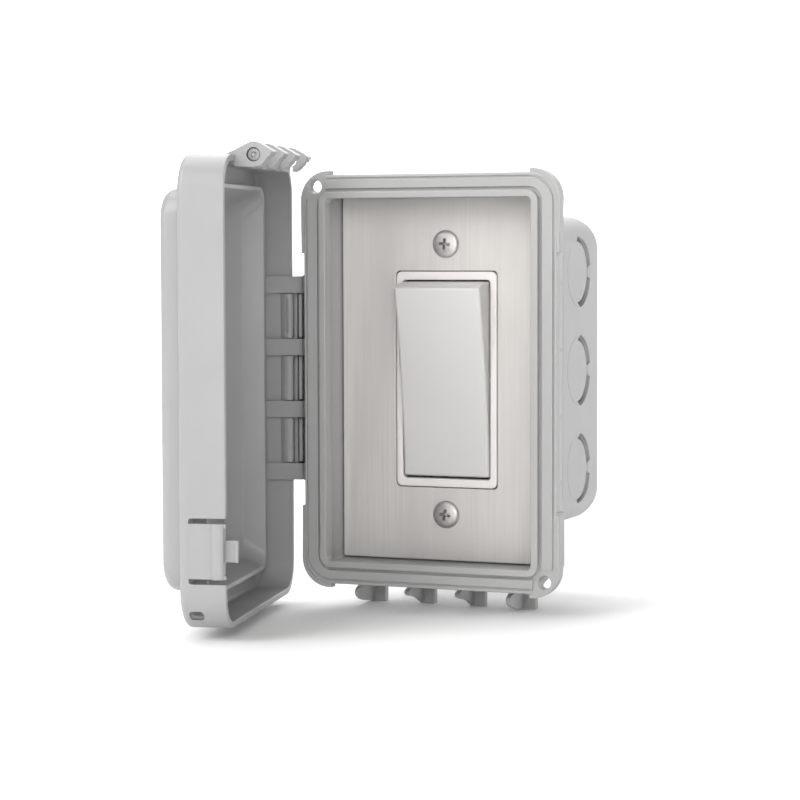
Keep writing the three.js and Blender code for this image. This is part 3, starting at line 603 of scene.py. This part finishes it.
BOX_LOW, BOX_HIGH = node_box("wall_box")
BOX_MIDDLE = mid_height("wall_box")
BOX_HALF_W = BOX_HIGH.x
BOX_HALF_H = (BOX_HIGH.z - BOX_LOW.z) / 2
BOX_FRONT = BOX_LOW.y - FACE_Y
BOX_BACK = BOX_HIGH.y - FACE_Y
BOX_WALL = 2.6
BOX_ROUND = 10.5
BOX_BACK_ROUND = 11.0
KNOCKOUT_Z = (33.0, 2.3, -28.4)
KNOCKOUT_DEPTH = 39.1
KNOCKOUT_R = 11.1
KNOCKOUT_SINK = 0.9
BACK_HOLE_Z = (24, -20)
PANEL_OUTSIDE, PANEL_INSIDE = (24.5, 36.0, 4.0), (23.7, 35.2, 3.4)
PANEL_SINK = 0.45


def box_shell():
    """The box as one section, from the middle of its back round the front edge to the middle of its floor."""
    w, h, r, wall, back = BOX_HALF_W, BOX_HALF_H, BOX_ROUND, BOX_WALL, BOX_BACK_ROUND
    floor = BOX_BACK - wall
    return sweep([
        (w - back, h - back, 0.5, BOX_BACK, 0), (w, h, r, BOX_BACK, back), (w, h, r, BOX_FRONT, 0.5),
        (w - wall, h - wall, r - wall, BOX_FRONT, 0.4), (w - wall, h - wall, r - wall, floor, back - wall),
        (w - back, h - back, 0.5, floor, 0),
    ], middle_z=BOX_MIDDLE)


def crescent(*edges):
    """A curved slot in depth and height. An edge is an arc: (shift off the wall, radius, start, end)."""
    return [point for shift, radius, start, end in edges for point in arc(-shift, 0, radius, start, end, 22)]


def knockout_cuts(side):
    """Sunk crescents on the half nearer the wall, slots through them, and a score line round the rest."""
    cuts = []
    face = side * BOX_HALF_W
    for z in KNOCKOUT_Z:
        centre = (0, KNOCKOUT_DEPTH, z)
        for start, end in ((11, 83), (-83, -11)):
            sunk = crescent((0, KNOCKOUT_R, start, end),
                            (1.9, KNOCKOUT_R - 1.6, end + 3, start - 3))
            cuts.append(prism(sunk, "X", face - side * KNOCKOUT_SINK, face + side, 0, centre))
            slot = crescent((0.25, KNOCKOUT_R - 0.15, start + 2, end - 2),
                            (1.85, KNOCKOUT_R - 1.55, end, start))
            cuts.append(prism(slot, "X", face - side * 4, face + side, 0, centre))
        score = arc(0, 0, KNOCKOUT_R - 0.3, 86, 274, 40) + arc(0, 0, KNOCKOUT_R - 0.5, 274, 86, 40)
        cuts.append(prism(score, "X", face - side * 0.08, face + side, 0, centre))
    return cuts


def knockout_bridges():
    """Rounded bumps that bridge each knockout at its point nearest the wall."""
    dome = [(0, -1.2), (2.1, -1.2), (2.1, 0), (1.9, 0.28), (1.4, 0.48), (0.7, 0.58), (0, 0.6)]
    depth = KNOCKOUT_DEPTH + KNOCKOUT_R - 1.4
    bumps = []
    for side in (1, -1):
        profile = [(radius, side * height) for radius, height in dome]
        bumps += [lathe(profile, "X", (side * BOX_HALF_W, depth, z), 32) for z in KNOCKOUT_Z]
    return bumps


def screw_posts():
    """Posts that take the switch's screws, each with a web to the end wall, and the holes in them."""
    posts = []
    holes = []
    for side, wall_z in ((1, BOX_HIGH.z - BOX_WALL / 2), (-1, BOX_LOW.z + BOX_WALL / 2)):
        z = side * SCREW_Z
        posts.append(rod(3.6, "Y", BOX_FRONT, BOX_FRONT + 20, (0, 0, z), 0.3))
        posts.append(block(-2, 2, BOX_FRONT + 0.05, BOX_FRONT + 19.5, min(z, wall_z), max(z, wall_z), 0.2))
        holes.append(drill(2.0, "Y", BOX_FRONT - 1, BOX_FRONT + 18, (0, 0, z)))
    return posts, holes


def back_cuts():
    """Two counterbored mounting holes and a shallow groove around a panel on the back."""
    hole = [(0, -9), (2.4, -9), (2.4, -0.9), (3.9, -0.9), (3.9, 1), (0, 1)]
    cuts = [lathe(hole, "Y", (0, BOX_BACK, z)) for z in BACK_HOLE_Z]
    groove_floor, outside = BOX_BACK - PANEL_SINK, BOX_BACK + 1
    cuts.append(sweep([
        (*PANEL_OUTSIDE, groove_floor, 0.1), (*PANEL_OUTSIDE, outside, 0),
        (*PANEL_INSIDE, outside, 0), (*PANEL_INSIDE, groove_floor, 0.1),
    ], closed=True, middle_z=BOX_MIDDLE))
    return cuts


def make_wall_box():
    posts, holes = screw_posts()
    cuts = knockout_cuts(1) + knockout_cuts(-1) + holes + back_cuts()
    box_solid = carve(carve(box_shell(), posts, cuts), knockout_bridges())
    piece("wall_box_moulding", box_solid, box_plastic, "base", ["wall_box"])


# ---------------------------------------------------------------- faceplate and switch

PLATE_LOW, PLATE_HIGH = node_box("faceplate")
PLATE_FRONT = PLATE_LOW.y - FACE_Y
PLATE_BACK = PLATE_HIGH.y - FACE_Y
PLATE_WINDOW = (16.85, 33.5, 1.5)


def make_faceplate():
    """Stainless plate with a softly rolled edge, a window and two dished screw holes."""
    edge = (PLATE_HIGH.x, PLATE_HIGH.z, 0.7)
    plate = sweep([
        (*edge, PLATE_BACK, 0.1), (*edge, PLATE_FRONT, 0.3),
        (*PLATE_WINDOW, PLATE_FRONT, 0.12), (*PLATE_WINDOW, PLATE_BACK, 0.1),
    ], closed=True)
    dish = [(0, 3), (2.0, 3), (2.0, 0.5), (2.6, 0.1), (2.6, -1), (0, -1)]
    holes = [lathe(dish, "Y", (0, PLATE_FRONT, side * SCREW_Z)) for side in (1, -1)]
    piece("faceplate_sheet", carve(plate, [], holes), plate_steel, "base", ["faceplate"],
          sharp=40)


def cross_recess(front, z, turn):
    """A cross-shaped driver recess: two tapered blades at right angles."""
    half_long, half_wide = 1.95, 0.48
    top = [(-half_long, -half_wide), (half_long, -half_wide), (half_long, half_wide), (-half_long, half_wide)]
    tools = []
    for angle in (turn, turn + 90):
        blade = bmesh.new()
        upper = [blade.verts.new((u, -0.4, v)) for u, v in top]
        lower = [blade.verts.new((0.5 * u, 2.0, 0.55 * v)) for u, v in top]
        blade.faces.new(upper)
        blade.faces.new(lower)
        for i in range(4):
            j = (i + 1) % 4
            blade.faces.new((upper[i], upper[j], lower[j], lower[i]))
        place = Matrix.Translation((0, FACE_Y + front, z)) @ Matrix.Rotation(math.radians(angle), 4, "Y")
        bmesh.ops.transform(blade, matrix=place, verts=blade.verts)
        tools.append(closed_mesh(blade))
    return tools


def make_plate_screw(name, node, turn):
    """An oval-head machine screw with its thread."""
    low, high = node_box(node)
    z = mid_height(node)
    front, back = low.y - FACE_Y, high.y - FACE_Y
    head_r = (high.x - low.x) / 2 + 0.2
    head_back = front + 1.5
    shank_r, root_r, pitch = 1.7, 1.45, 0.8
    profile = []
    for step in range(9):
        angle = math.radians(90 * step / 8)
        profile.append(((head_r - 0.15) * math.sin(angle), front + 1 - math.cos(angle)))
    profile += [(head_r, front + 1.3), (head_r - 0.05, head_back), (shank_r, head_back)]
    depth = head_back + 1.5
    while depth < back - 1.4:
        profile += [(shank_r, depth), (root_r, depth + pitch / 2)]
        depth += pitch
    profile += [(1.6, back - 1.0), (0.9, back), (0, back)]
    screw = carve(lathe(profile, "Y", (0, 0, z), 48), [], cross_recess(front, z, turn))
    piece(name, screw, screw_steel, "base", [node])


def make_bezel():
    """White surround: softly crowned frame with a shadow step around the paddle."""
    low, high = node_box("switch_bezel")
    front, back = low.y - FACE_Y, high.y - FACE_Y
    w, h = high.x, high.z
    hole_w, hole_h = 14.5, 30.65
    body = sweep([
        (w, h, 1.8, back, 0.1), (w, h, 1.8, front + 0.1, 0.5), (w - 1.1, h - 1.1, 1.3, front, 0.4),
        (hole_w, hole_h, 1.1, front + 0.05, 0.35), (hole_w - 0.05, hole_h - 0.05, 1.0, back, 0.1),
    ], closed=True)
    surround = carve(body, [], [drill(1.2, "X", -16.15, 16.15, (0, ROCKER_PIVOT, 0))])
    piece("switch_surround", surround, bezel_plastic, "base", ["switch_bezel"])


ROCKER_HALF_W, ROCKER_HALF_H = 14.1, 29.5
ROCKER_END, ROCKER_RIDGE, ROCKER_SKIRT = 11.3, 12.6, 20.6
ROCKER_REACH = math.hypot(ROCKER_HALF_H + 0.15, ROCKER_PIVOT - ROCKER_END)
ROLL = 0.9              # radius of the paddle's rolled rim
SKIRT_WALL = 1.6
COLUMNS, ROWS = 28, 56


def rocker_front(x, z):
    """Depth of the paddle's front: two slightly dished facets that meet in a soft line across it."""
    share = abs(z) / ROCKER_HALF_H
    facet = ROCKER_END + (ROCKER_RIDGE - ROCKER_END) * (1 - share ** 1.35)
    dish = 0.25 * (1 - (x / ROCKER_HALF_W) ** 2) * (1 - (2 * share - 1) ** 2)
    return facet + dish


def rocker_loops():
    """Loops around the paddle from its front to the inside of its skirt.

    Each is (half width, half height, drop, least depth). It lies the drop behind the front, and no less deep
    than the least depth.
    """
    flat = -math.inf        # the drop of a loop that lies at one depth all round
    loops = []
    for step in range(1, 6):
        angle = math.radians(18 * step)
        inset = ROLL * (1 - math.sin(angle))
        loops.append((ROCKER_HALF_W - inset, ROCKER_HALF_H - inset, ROLL * (1 - math.cos(angle)), 0))
    # the end walls are arcs about the pivot
    for depth in (13.6, 15.2, ROCKER_PIVOT, 18.8, ROCKER_SKIRT):
        reach = math.sqrt(ROCKER_REACH ** 2 - (depth - ROCKER_PIVOT) ** 2)
        loops.append((ROCKER_HALF_W, reach, flat, depth))
    inside = (ROCKER_HALF_W - SKIRT_WALL, ROCKER_HALF_H - SKIRT_WALL)
    return loops + [(*inside, flat, ROCKER_SKIRT), (*inside, SKIRT_WALL, 13.4)]


def rocker_shell():
    """The paddle as a grid that rolls over into its four side walls."""
    flat_w, flat_h = ROCKER_HALF_W - ROLL, ROCKER_HALF_H - ROLL
    bm = bmesh.new()
    grid = []
    for row in range(ROWS + 1):
        z = flat_h * (2 * row / ROWS - 1)
        xs = [flat_w * (2 * column / COLUMNS - 1) for column in range(COLUMNS + 1)]
        grid.append([bm.verts.new((x, FACE_Y + rocker_front(x, z), z)) for x in xs])
    for lower, upper in zip(grid, grid[1:]):
        for i in range(COLUMNS):
            bm.faces.new((lower[i], lower[i + 1], upper[i + 1], upper[i]))
    rim = grid[0][:-1] + [line[-1] for line in grid[:-1]]
    rim += grid[-1][:0:-1] + [line[0] for line in grid[:0:-1]]
    last = rim
    for half_w, half_h, drop, least in rocker_loops():
        loop = []
        for start in rim:
            x, y, z = start.co
            at_side = abs(abs(x) - flat_w) < MERGE
            at_end = abs(abs(z) - flat_h) < MERGE
            ease = 0.14 * ROLL if at_side and at_end else 0
            new_x = math.copysign(half_w - ease, x) if at_side else x * min(1, half_w / flat_w)
            new_z = math.copysign(half_h - ease, z) if at_end else z * min(1, half_h / flat_h)
            loop.append(bm.verts.new((new_x, FACE_Y + max(y - FACE_Y + drop, least), new_z)))
        for i in range(len(loop)):
            j = (i + 1) % len(loop)
            bm.faces.new((last[i], last[j], loop[j], loop[i]))
        last = loop
    bm.faces.new(last)
    return closed_mesh(bm)


def make_rocker():
    adds = [rod(4.0, "Y", 13.6, 27.5, (0, 0, 0), 0.2)]
    for start, end in ((13.4, 15.85), (-15.85, -13.4)):
        adds.append(rod(0.9, "X", start, end, (0, ROCKER_PIVOT, 0), 0.1))
    paddle = carve(rocker_shell(), adds, [drill(2.6, "Y", 17.5, 30, (0, 0, 0))])
    piece("rocker_paddle_cap", paddle, rocker_plastic, "rocker", ["rocker_paddle"],
          ROCKER_REST, sharp=40)


# ---------------------------------------------------------------- lid

# rounded rectangles of the lid's section, each (half width, half height, corner radius)
LID = (44.9, 67.0, 10.0)
LID_INSIDE = (43.0, 65.1, 8.1)
DOME_ROOT = (36.8, 58.2, 8.0)
DOME = (36.2, 56.9, 8.0)
DOME_INSIDE = (34.6, 55.3, 6.5)
CROWN, CROWN_INSIDE = (30.0, 50.6, 3.0), (30.0, 50.7, 3.5)
SUMMIT = (14.0, 30.0, 1.0)
RIB_OUTSIDE, RIB_INSIDE = (37.4, 59.5, 5.2), (36.0, 58.1, 4.2)

# depths of the lid's section
LID_RIM, LID_SHOULDER, LID_FLOOR = 6.9, -6.8, -4.2
RIB_EDGE = -0.3
DOME_FRONT, DOME_FOOT = -14.3, -7.0

STRAP_Z = (-29.2, -9.7, 9.7, 29.2)
STRAP_HALF = 2.575
TONGUE_LOW, TONGUE_HIGH = -52.1, -36.4
TONGUE_SLOT = 1.5
CLIP_X = (28.0, 12.0, -4.0, -20.0)
CLIP_DEPTH, CLIP_Z = 12.2, 67.0
CLIP_HALF = 2.8
CLIP_OUTSIDE_R, CLIP_BORE_R = 3.65, 2.0
PIN_R = 1.93


def lid_skin():
    """The domed front, the skirt, the sealing rib and the inside, as one section."""
    return sweep([
        (*SUMMIT, DOME_FRONT - 0.35, 0), (*CROWN, DOME_FRONT, 9), (*DOME, DOME_FRONT, 5.6),
        (*DOME_ROOT, LID_SHOULDER, 1.0), (*LID, LID_SHOULDER, 2.0), (*LID, LID_RIM, 0.35),
        (*LID_INSIDE, LID_RIM, 0.35), (*LID_INSIDE, LID_FLOOR, 1.2), (*RIB_OUTSIDE, LID_FLOOR, 0.7),
        (*RIB_OUTSIDE, RIB_EDGE, 0.4), (*RIB_INSIDE, RIB_EDGE, 0.4), (*DOME_INSIDE, DOME_FOOT, 0.5),
        (*CROWN_INSIDE, DOME_FRONT + 1.9, 1.5), (*SUMMIT, DOME_FRONT + 1.6, 0),
    ])


def eye_points(radius, start, end, steps):
    """Points about the hinge rod. Angle 0 faces forward and 90 degrees faces away from the switch."""
    angles = [math.radians(start + (end - start) * i / steps) for i in range(steps + 1)]
    return [(HINGE.x - radius * math.sin(a), HINGE_DEPTH - radius * math.cos(a)) for a in angles]


def hinge_straps():
    """Four straps that run from the lid's inside wall and wrap the hinge rod as open eyes."""
    inner_x, outer_x = -41.5, -43.4
    outline = eye_points(3.9, 196, -70, 26)
    outline += [(inner_x, 9.4), (inner_x, LID_FLOOR - 0.4), (outer_x, LID_FLOOR - 0.4), (outer_x, 7.2)]
    outline += eye_points(ROD_BORE_R, -62, 198, 26)
    return [prism(outline, "Z", z - STRAP_HALF, z + STRAP_HALF, 0.25) for z in STRAP_Z]


def hinge_web():
    """A curved wall that joins the straps on the outer side of the rod."""
    outline = eye_points(5.2, -4, 80, 16) + eye_points(3.6, 80, -4, 16)
    end = STRAP_Z[-1] + STRAP_HALF
    return prism(outline, "Z", -end, end, 0.3)


def hinge_bulges():
    """Rounded swellings of the lid's inside wall between the straps."""
    outline = [(-43.4, 2.8), (-42.9, 3.4), (-42.3, 4.1), (-41.9, 4.9), (-41.75, 5.8),
               (-41.9, 6.7), (-42.3, 7.3), (-43.4, 7.5)]
    return [prism(outline, "Z", z - 6.9, z + 6.9, 0.2) for z in BRACKET_Z]


def bulge_slot():
    """A narrow upright slot in the upper swelling."""
    depth, z = 5.8, BRACKET_Z[-1]
    outline = arc(depth, z - 4.9, 0.3, 180, 360, 6) + arc(depth, z + 4.9, 0.3, 0, 180, 6)
    return prism(outline, "X", -42.6, -41)


def at_clip(outline):
    """Moves an outline drawn about a spare clip's bore to its place in depth and height."""
    return [(CLIP_DEPTH + u, CLIP_Z + v) for u, v in outline]


def clip_outline():
    """Side view of a spare clip: it swells out of the lid's top, rounds over and ends in a pointed lip."""
    outline = [(-9.4, 0.0), (-7.8, 0.35), (-6.5, 0.85), (-5.2, 1.45), (-4.0, 2.05), (-3.0, 2.6), (-2.0, 3.08)]
    outline += arc(0, 0, CLIP_OUTSIDE_R, 112, 50, 8)
    outline += [(3.2, 2.35), (4.2, 1.75), (5.1, 1.25), (5.55, 0.95), (5.6, 0.65), (5.3, 0.35), (4.6, -0.1)]
    outline += [(3.9, -0.75)]
    outline += arc(0, 0, CLIP_OUTSIDE_R, -20, -75, 8)
    outline += [(0.2, -3.6), (-5.6, -3.5), (-5.9, -1.95), (-9.4, -1.9)]
    return at_clip(outline)


def spare_clips():
    """The clips on the lid's top and their bores. The first bore is blind, and the others are open below."""
    adds = []
    cuts = []
    mouth = at_clip([(-0.9, -0.5), (-1.3, -5), (0.9, -5), (0.6, -0.5)])
    for i, x in enumerate(CLIP_X):
        left, right = x - CLIP_HALF, x + CLIP_HALF
        adds.append(prism(clip_outline(), "X", left, right, 0.4))
        start = left + 1.2 if i == 0 else left - 1
        cuts.append(rod(CLIP_BORE_R, "X", start, right + 1, (0, CLIP_DEPTH, CLIP_Z), 0.02))
        if i > 0:
            cuts.append(prism(mouth, "X", left - 1, right + 1))
    return adds, cuts


def latch_window():
    """The gap in the lid's right wall that leaves a narrow slot above and below the tongue."""
    low, high = TONGUE_LOW - TONGUE_SLOT, TONGUE_HIGH + TONGUE_SLOT
    outline = [(LID_RIM + 2, low), (LID_RIM + 2, high)]
    outline += arc(-3.0, high - 0.9, 0.9, 90, 180, 5) + arc(-3.0, low + 0.9, 0.9, 180, 270, 5)
    return prism(outline, "X", LID_INSIDE[0] - 0.4, 48)


def make_lid():
    adds, cuts = spare_clips()
    adds += hinge_straps() + [hinge_web()] + hinge_bulges()
    thumb_slot = block(40.2, 48, -4.2, 0.1, -64.1, -61.4, 1.0, 4)
    cuts += [bulge_slot(), latch_window(), thumb_slot]
    piece("lid_moulding", carve(lid_skin(), adds, cuts), lid_plastic, "lid", ["lid_shell"],
          LID_OPEN)


def make_latch():
    """The springy tongue: a plate with a rounded grip bar, and a tab with a lip and a hook."""
    inner, outer = LID_INSIDE[0], LID[0]
    low, high = TONGUE_LOW, TONGUE_HIGH
    tab_low, tab_high = -47.3, -41.1
    plate = prism([
        (outer, -3.95), (outer, 6.3), (outer - 0.3, 6.5), (inner + 0.3, 6.5), (inner, 6.2), (inner, -3.95),
    ], "Z", low, high, 0.2)
    grip = prism([
        (outer - 0.5, 2.7), (outer + 0.2, 2.75), (outer + 0.7, 3.0), (outer + 1.05, 3.5), (outer + 1.15, 4.3),
        (outer + 1.1, 5.3), (outer + 0.95, 5.9), (outer + 0.6, 6.3), (outer - 0.5, 6.45),
    ], "Z", low - 0.05, high + 0.05, 0.3)
    corners = [block(outer - 0.7, outer + 0.5, 5.8, 6.95, z, z + 1.2, 0.2) for z in (low, high - 1.2)]
    tab = block(inner, outer - 1.2, 5.7, 10.0, tab_low, tab_high, 0.2, 3)
    lip = block(inner, outer - 0.3, 9.5, 10.3, tab_low, tab_high, 0.2, 3)
    nose = prism([
        (inner + 0.6, 6.75), (42.72, 6.75), (42.72, 7.9), (inner + 0.2, 9.4), (inner + 0.6, 9.4),
    ], "Z", tab_low + 0.1, tab_high - 0.1, 0.12)
    tongue = carve(plate, [grip, *corners, tab, lip, nose])
    piece("latch_tongue_moulding", tongue, lid_plastic, "latch", ["latch_tongue"], LID_OPEN)


def make_spare_pin():
    """The end of a spare hinge pin in the first clip, with a domed and slightly dished face."""
    start = CLIP_X[0] - CLIP_HALF + 1.5
    end = CLIP_X[0] + CLIP_HALF - 0.35
    profile = [(0, start), (PIN_R, start), (PIN_R, end - 0.4)]
    profile += arc(PIN_R - 0.4, end - 0.4, 0.4, 0, 90, 5)
    profile += [(0.8, end), (0.55, end - 0.25), (0, end - 0.3)]
    pin = lathe(profile, "X", (0, CLIP_DEPTH, CLIP_Z))
    piece("spare_pin_end", pin, zinc_steel, "lid", ["spare_hinge_pin"], LID_OPEN)


def make_hinge_rod():
    low, high = node_box("hinge_rod")
    bar = rod(ROD_R, "Z", low.z, high.z, (HINGE.x, HINGE_DEPTH, 0), 0.4)
    piece("hinge_rod_bar", bar, zinc_steel, "base", ["hinge_rod"])


make_cover_frame()
make_wall_box()
make_faceplate()
make_plate_screw("plate_screw_top", "faceplate_screw_top", 4)
make_plate_screw("plate_screw_bottom", "faceplate_screw_bottom", 8)
make_bezel()
make_rocker()
make_lid()
make_latch()
make_spare_pin()
make_hinge_rod()


# ---------------------------------------------------------------- CAD nodes that stay

KEPT = {
    gasket_foam: ("box_gasket", "faceplate_gasket"),
    zinc_steel: ("mounting_strap",),
    housing_plastic: ("switch_housing",),
    brass: ("terminal_plate_upper", "terminal_plate_lower", "terminal_screw_upper", "terminal_screw_lower",
            "contact_bridge"),
    green_screw: ("ground_screw",),
    silver_contact: ("fixed_contact",),
    nylon: ("contact_plunger",),
    spring_steel: ("plunger_spring",),
}
for material, names in KEPT.items():
    for name in names:
        node = frame["nodes"][name]
        node.data.materials.clear()
        node.data.materials.append(material)


# ---------------------------------------------------------------- studio

FLOOR_HALF = 9.0
CURVE_START, CURVE_RADIUS, CURVE_STEPS = 2.2, 1.2, 16
BACKDROP_HEIGHT = 4.0


def floor_paper():
    """Pale paper. Far from the object it glows softly, so that the backdrop stays pale all round."""
    material, tree, shader, place = new_material("floor_paper")
    tone = remap(tree, noise(tree, place, 3, 2), 0, 1)
    tree.links.new(mixed(tree, tone, (0.93, 0.93, 0.93), (0.95, 0.95, 0.95)), shader.inputs["Base Color"])
    shader.inputs["Roughness"].default_value = 0.9
    reach = tree.nodes.new("ShaderNodeVectorMath")
    reach.operation = "LENGTH"
    tree.links.new(place, reach.inputs[0])
    glow = remap(tree, reach.outputs["Value"], 0, 0.5, 1.5, 3.0)
    tree.links.new(glow, shader.inputs["Emission Strength"])
    shader.inputs["Emission Color"].default_value = (1, 1, 1, 1)
    return material


def make_floor(level):
    """A pale floor that curves up into a backdrop far behind."""
    section = [(-FLOOR_HALF, level), (CURVE_START, level)]
    for step in range(1, CURVE_STEPS + 1):
        angle = math.radians(90 * step / CURVE_STEPS)
        rise = CURVE_RADIUS * (1 - math.cos(angle))
        section.append((CURVE_START + CURVE_RADIUS * math.sin(angle), level + rise))
    section.append((CURVE_START + CURVE_RADIUS, level + BACKDROP_HEIGHT))
    bm = bmesh.new()
    left = [bm.verts.new((-FLOOR_HALF, y, z)) for y, z in section]
    right = [bm.verts.new((FLOOR_HALF, y, z)) for y, z in section]
    for i in range(len(section) - 1):
        bm.faces.new((left[i], right[i], right[i + 1], left[i + 1]))
    floor = as_object(bm, "studio_floor")
    floor.data.polygons.foreach_set("use_smooth", [True] * len(floor.data.polygons))
    floor.data.materials.append(floor_paper())


def area_light(name, location, target, size, power):
    """A round light of a size in metres and a power in watts, aimed at a point."""
    data = bpy.data.lights.new(name, "AREA")
    data.shape = "DISK"
    data.size = size
    data.energy = power
    light = bpy.data.objects.new(name, data)
    light.location = location
    light.rotation_euler = (Vector(target) - Vector(location)).to_track_quat("-Z", "Y").to_euler()
    bpy.context.scene.collection.objects.link(light)


def make_camera():
    """The viewpoint: a long lens to the right of square on and slightly above the middle."""
    azimuth, elevation, roll = 22.9, 3.48, -0.16
    place = (0.2859, -0.7598, 0.0405)
    data = bpy.data.cameras.new("camera")
    data.lens = 112.5
    data.sensor_width = 36
    camera = bpy.data.objects.new("camera", data)
    camera.matrix_world = (Matrix.Translation(place)
                           @ Matrix.Rotation(math.radians(azimuth), 4, "Z")
                           @ Matrix.Rotation(math.radians(90 - elevation), 4, "X")
                           @ Matrix.Rotation(math.radians(roll), 4, "Z"))
    bpy.context.scene.collection.objects.link(camera)
    bpy.context.scene.camera = camera


def make_world():
    """Even white light from all sides, and colours shown as they are."""
    world = bpy.data.worlds.new("studio")
    bpy.context.scene.world = world
    world.use_nodes = True
    background = world.node_tree.nodes["Background"]
    background.inputs["Color"].default_value = (1, 1, 1, 1)
    background.inputs["Strength"].default_value = 0.26
    bpy.context.scene.view_settings.view_transform = "Standard"


make_floor(cad_low.z)
TARGET = (cad_low + cad_high) / 2
area_light("key", (-0.72, -1.05, 0.85), TARGET, 1.1, 15.5)
area_light("front", (0.5, -1.45, 0.40), TARGET, 0.9, 11)
area_light("fill", (1.25, -1.0, 0.35), TARGET, 1.0, 2.5)
area_light("rim", (1.05, 1.05, 0.30), TARGET, 0.6, 3)
area_light("overhead", (-0.45, 0.15, 1.35), TARGET, 1.0, 10)
area_light("backdrop", (-0.9, 2.5, 2.2), (-1.1, 2.7, 0), 2.0, 55)
make_camera()
make_world()
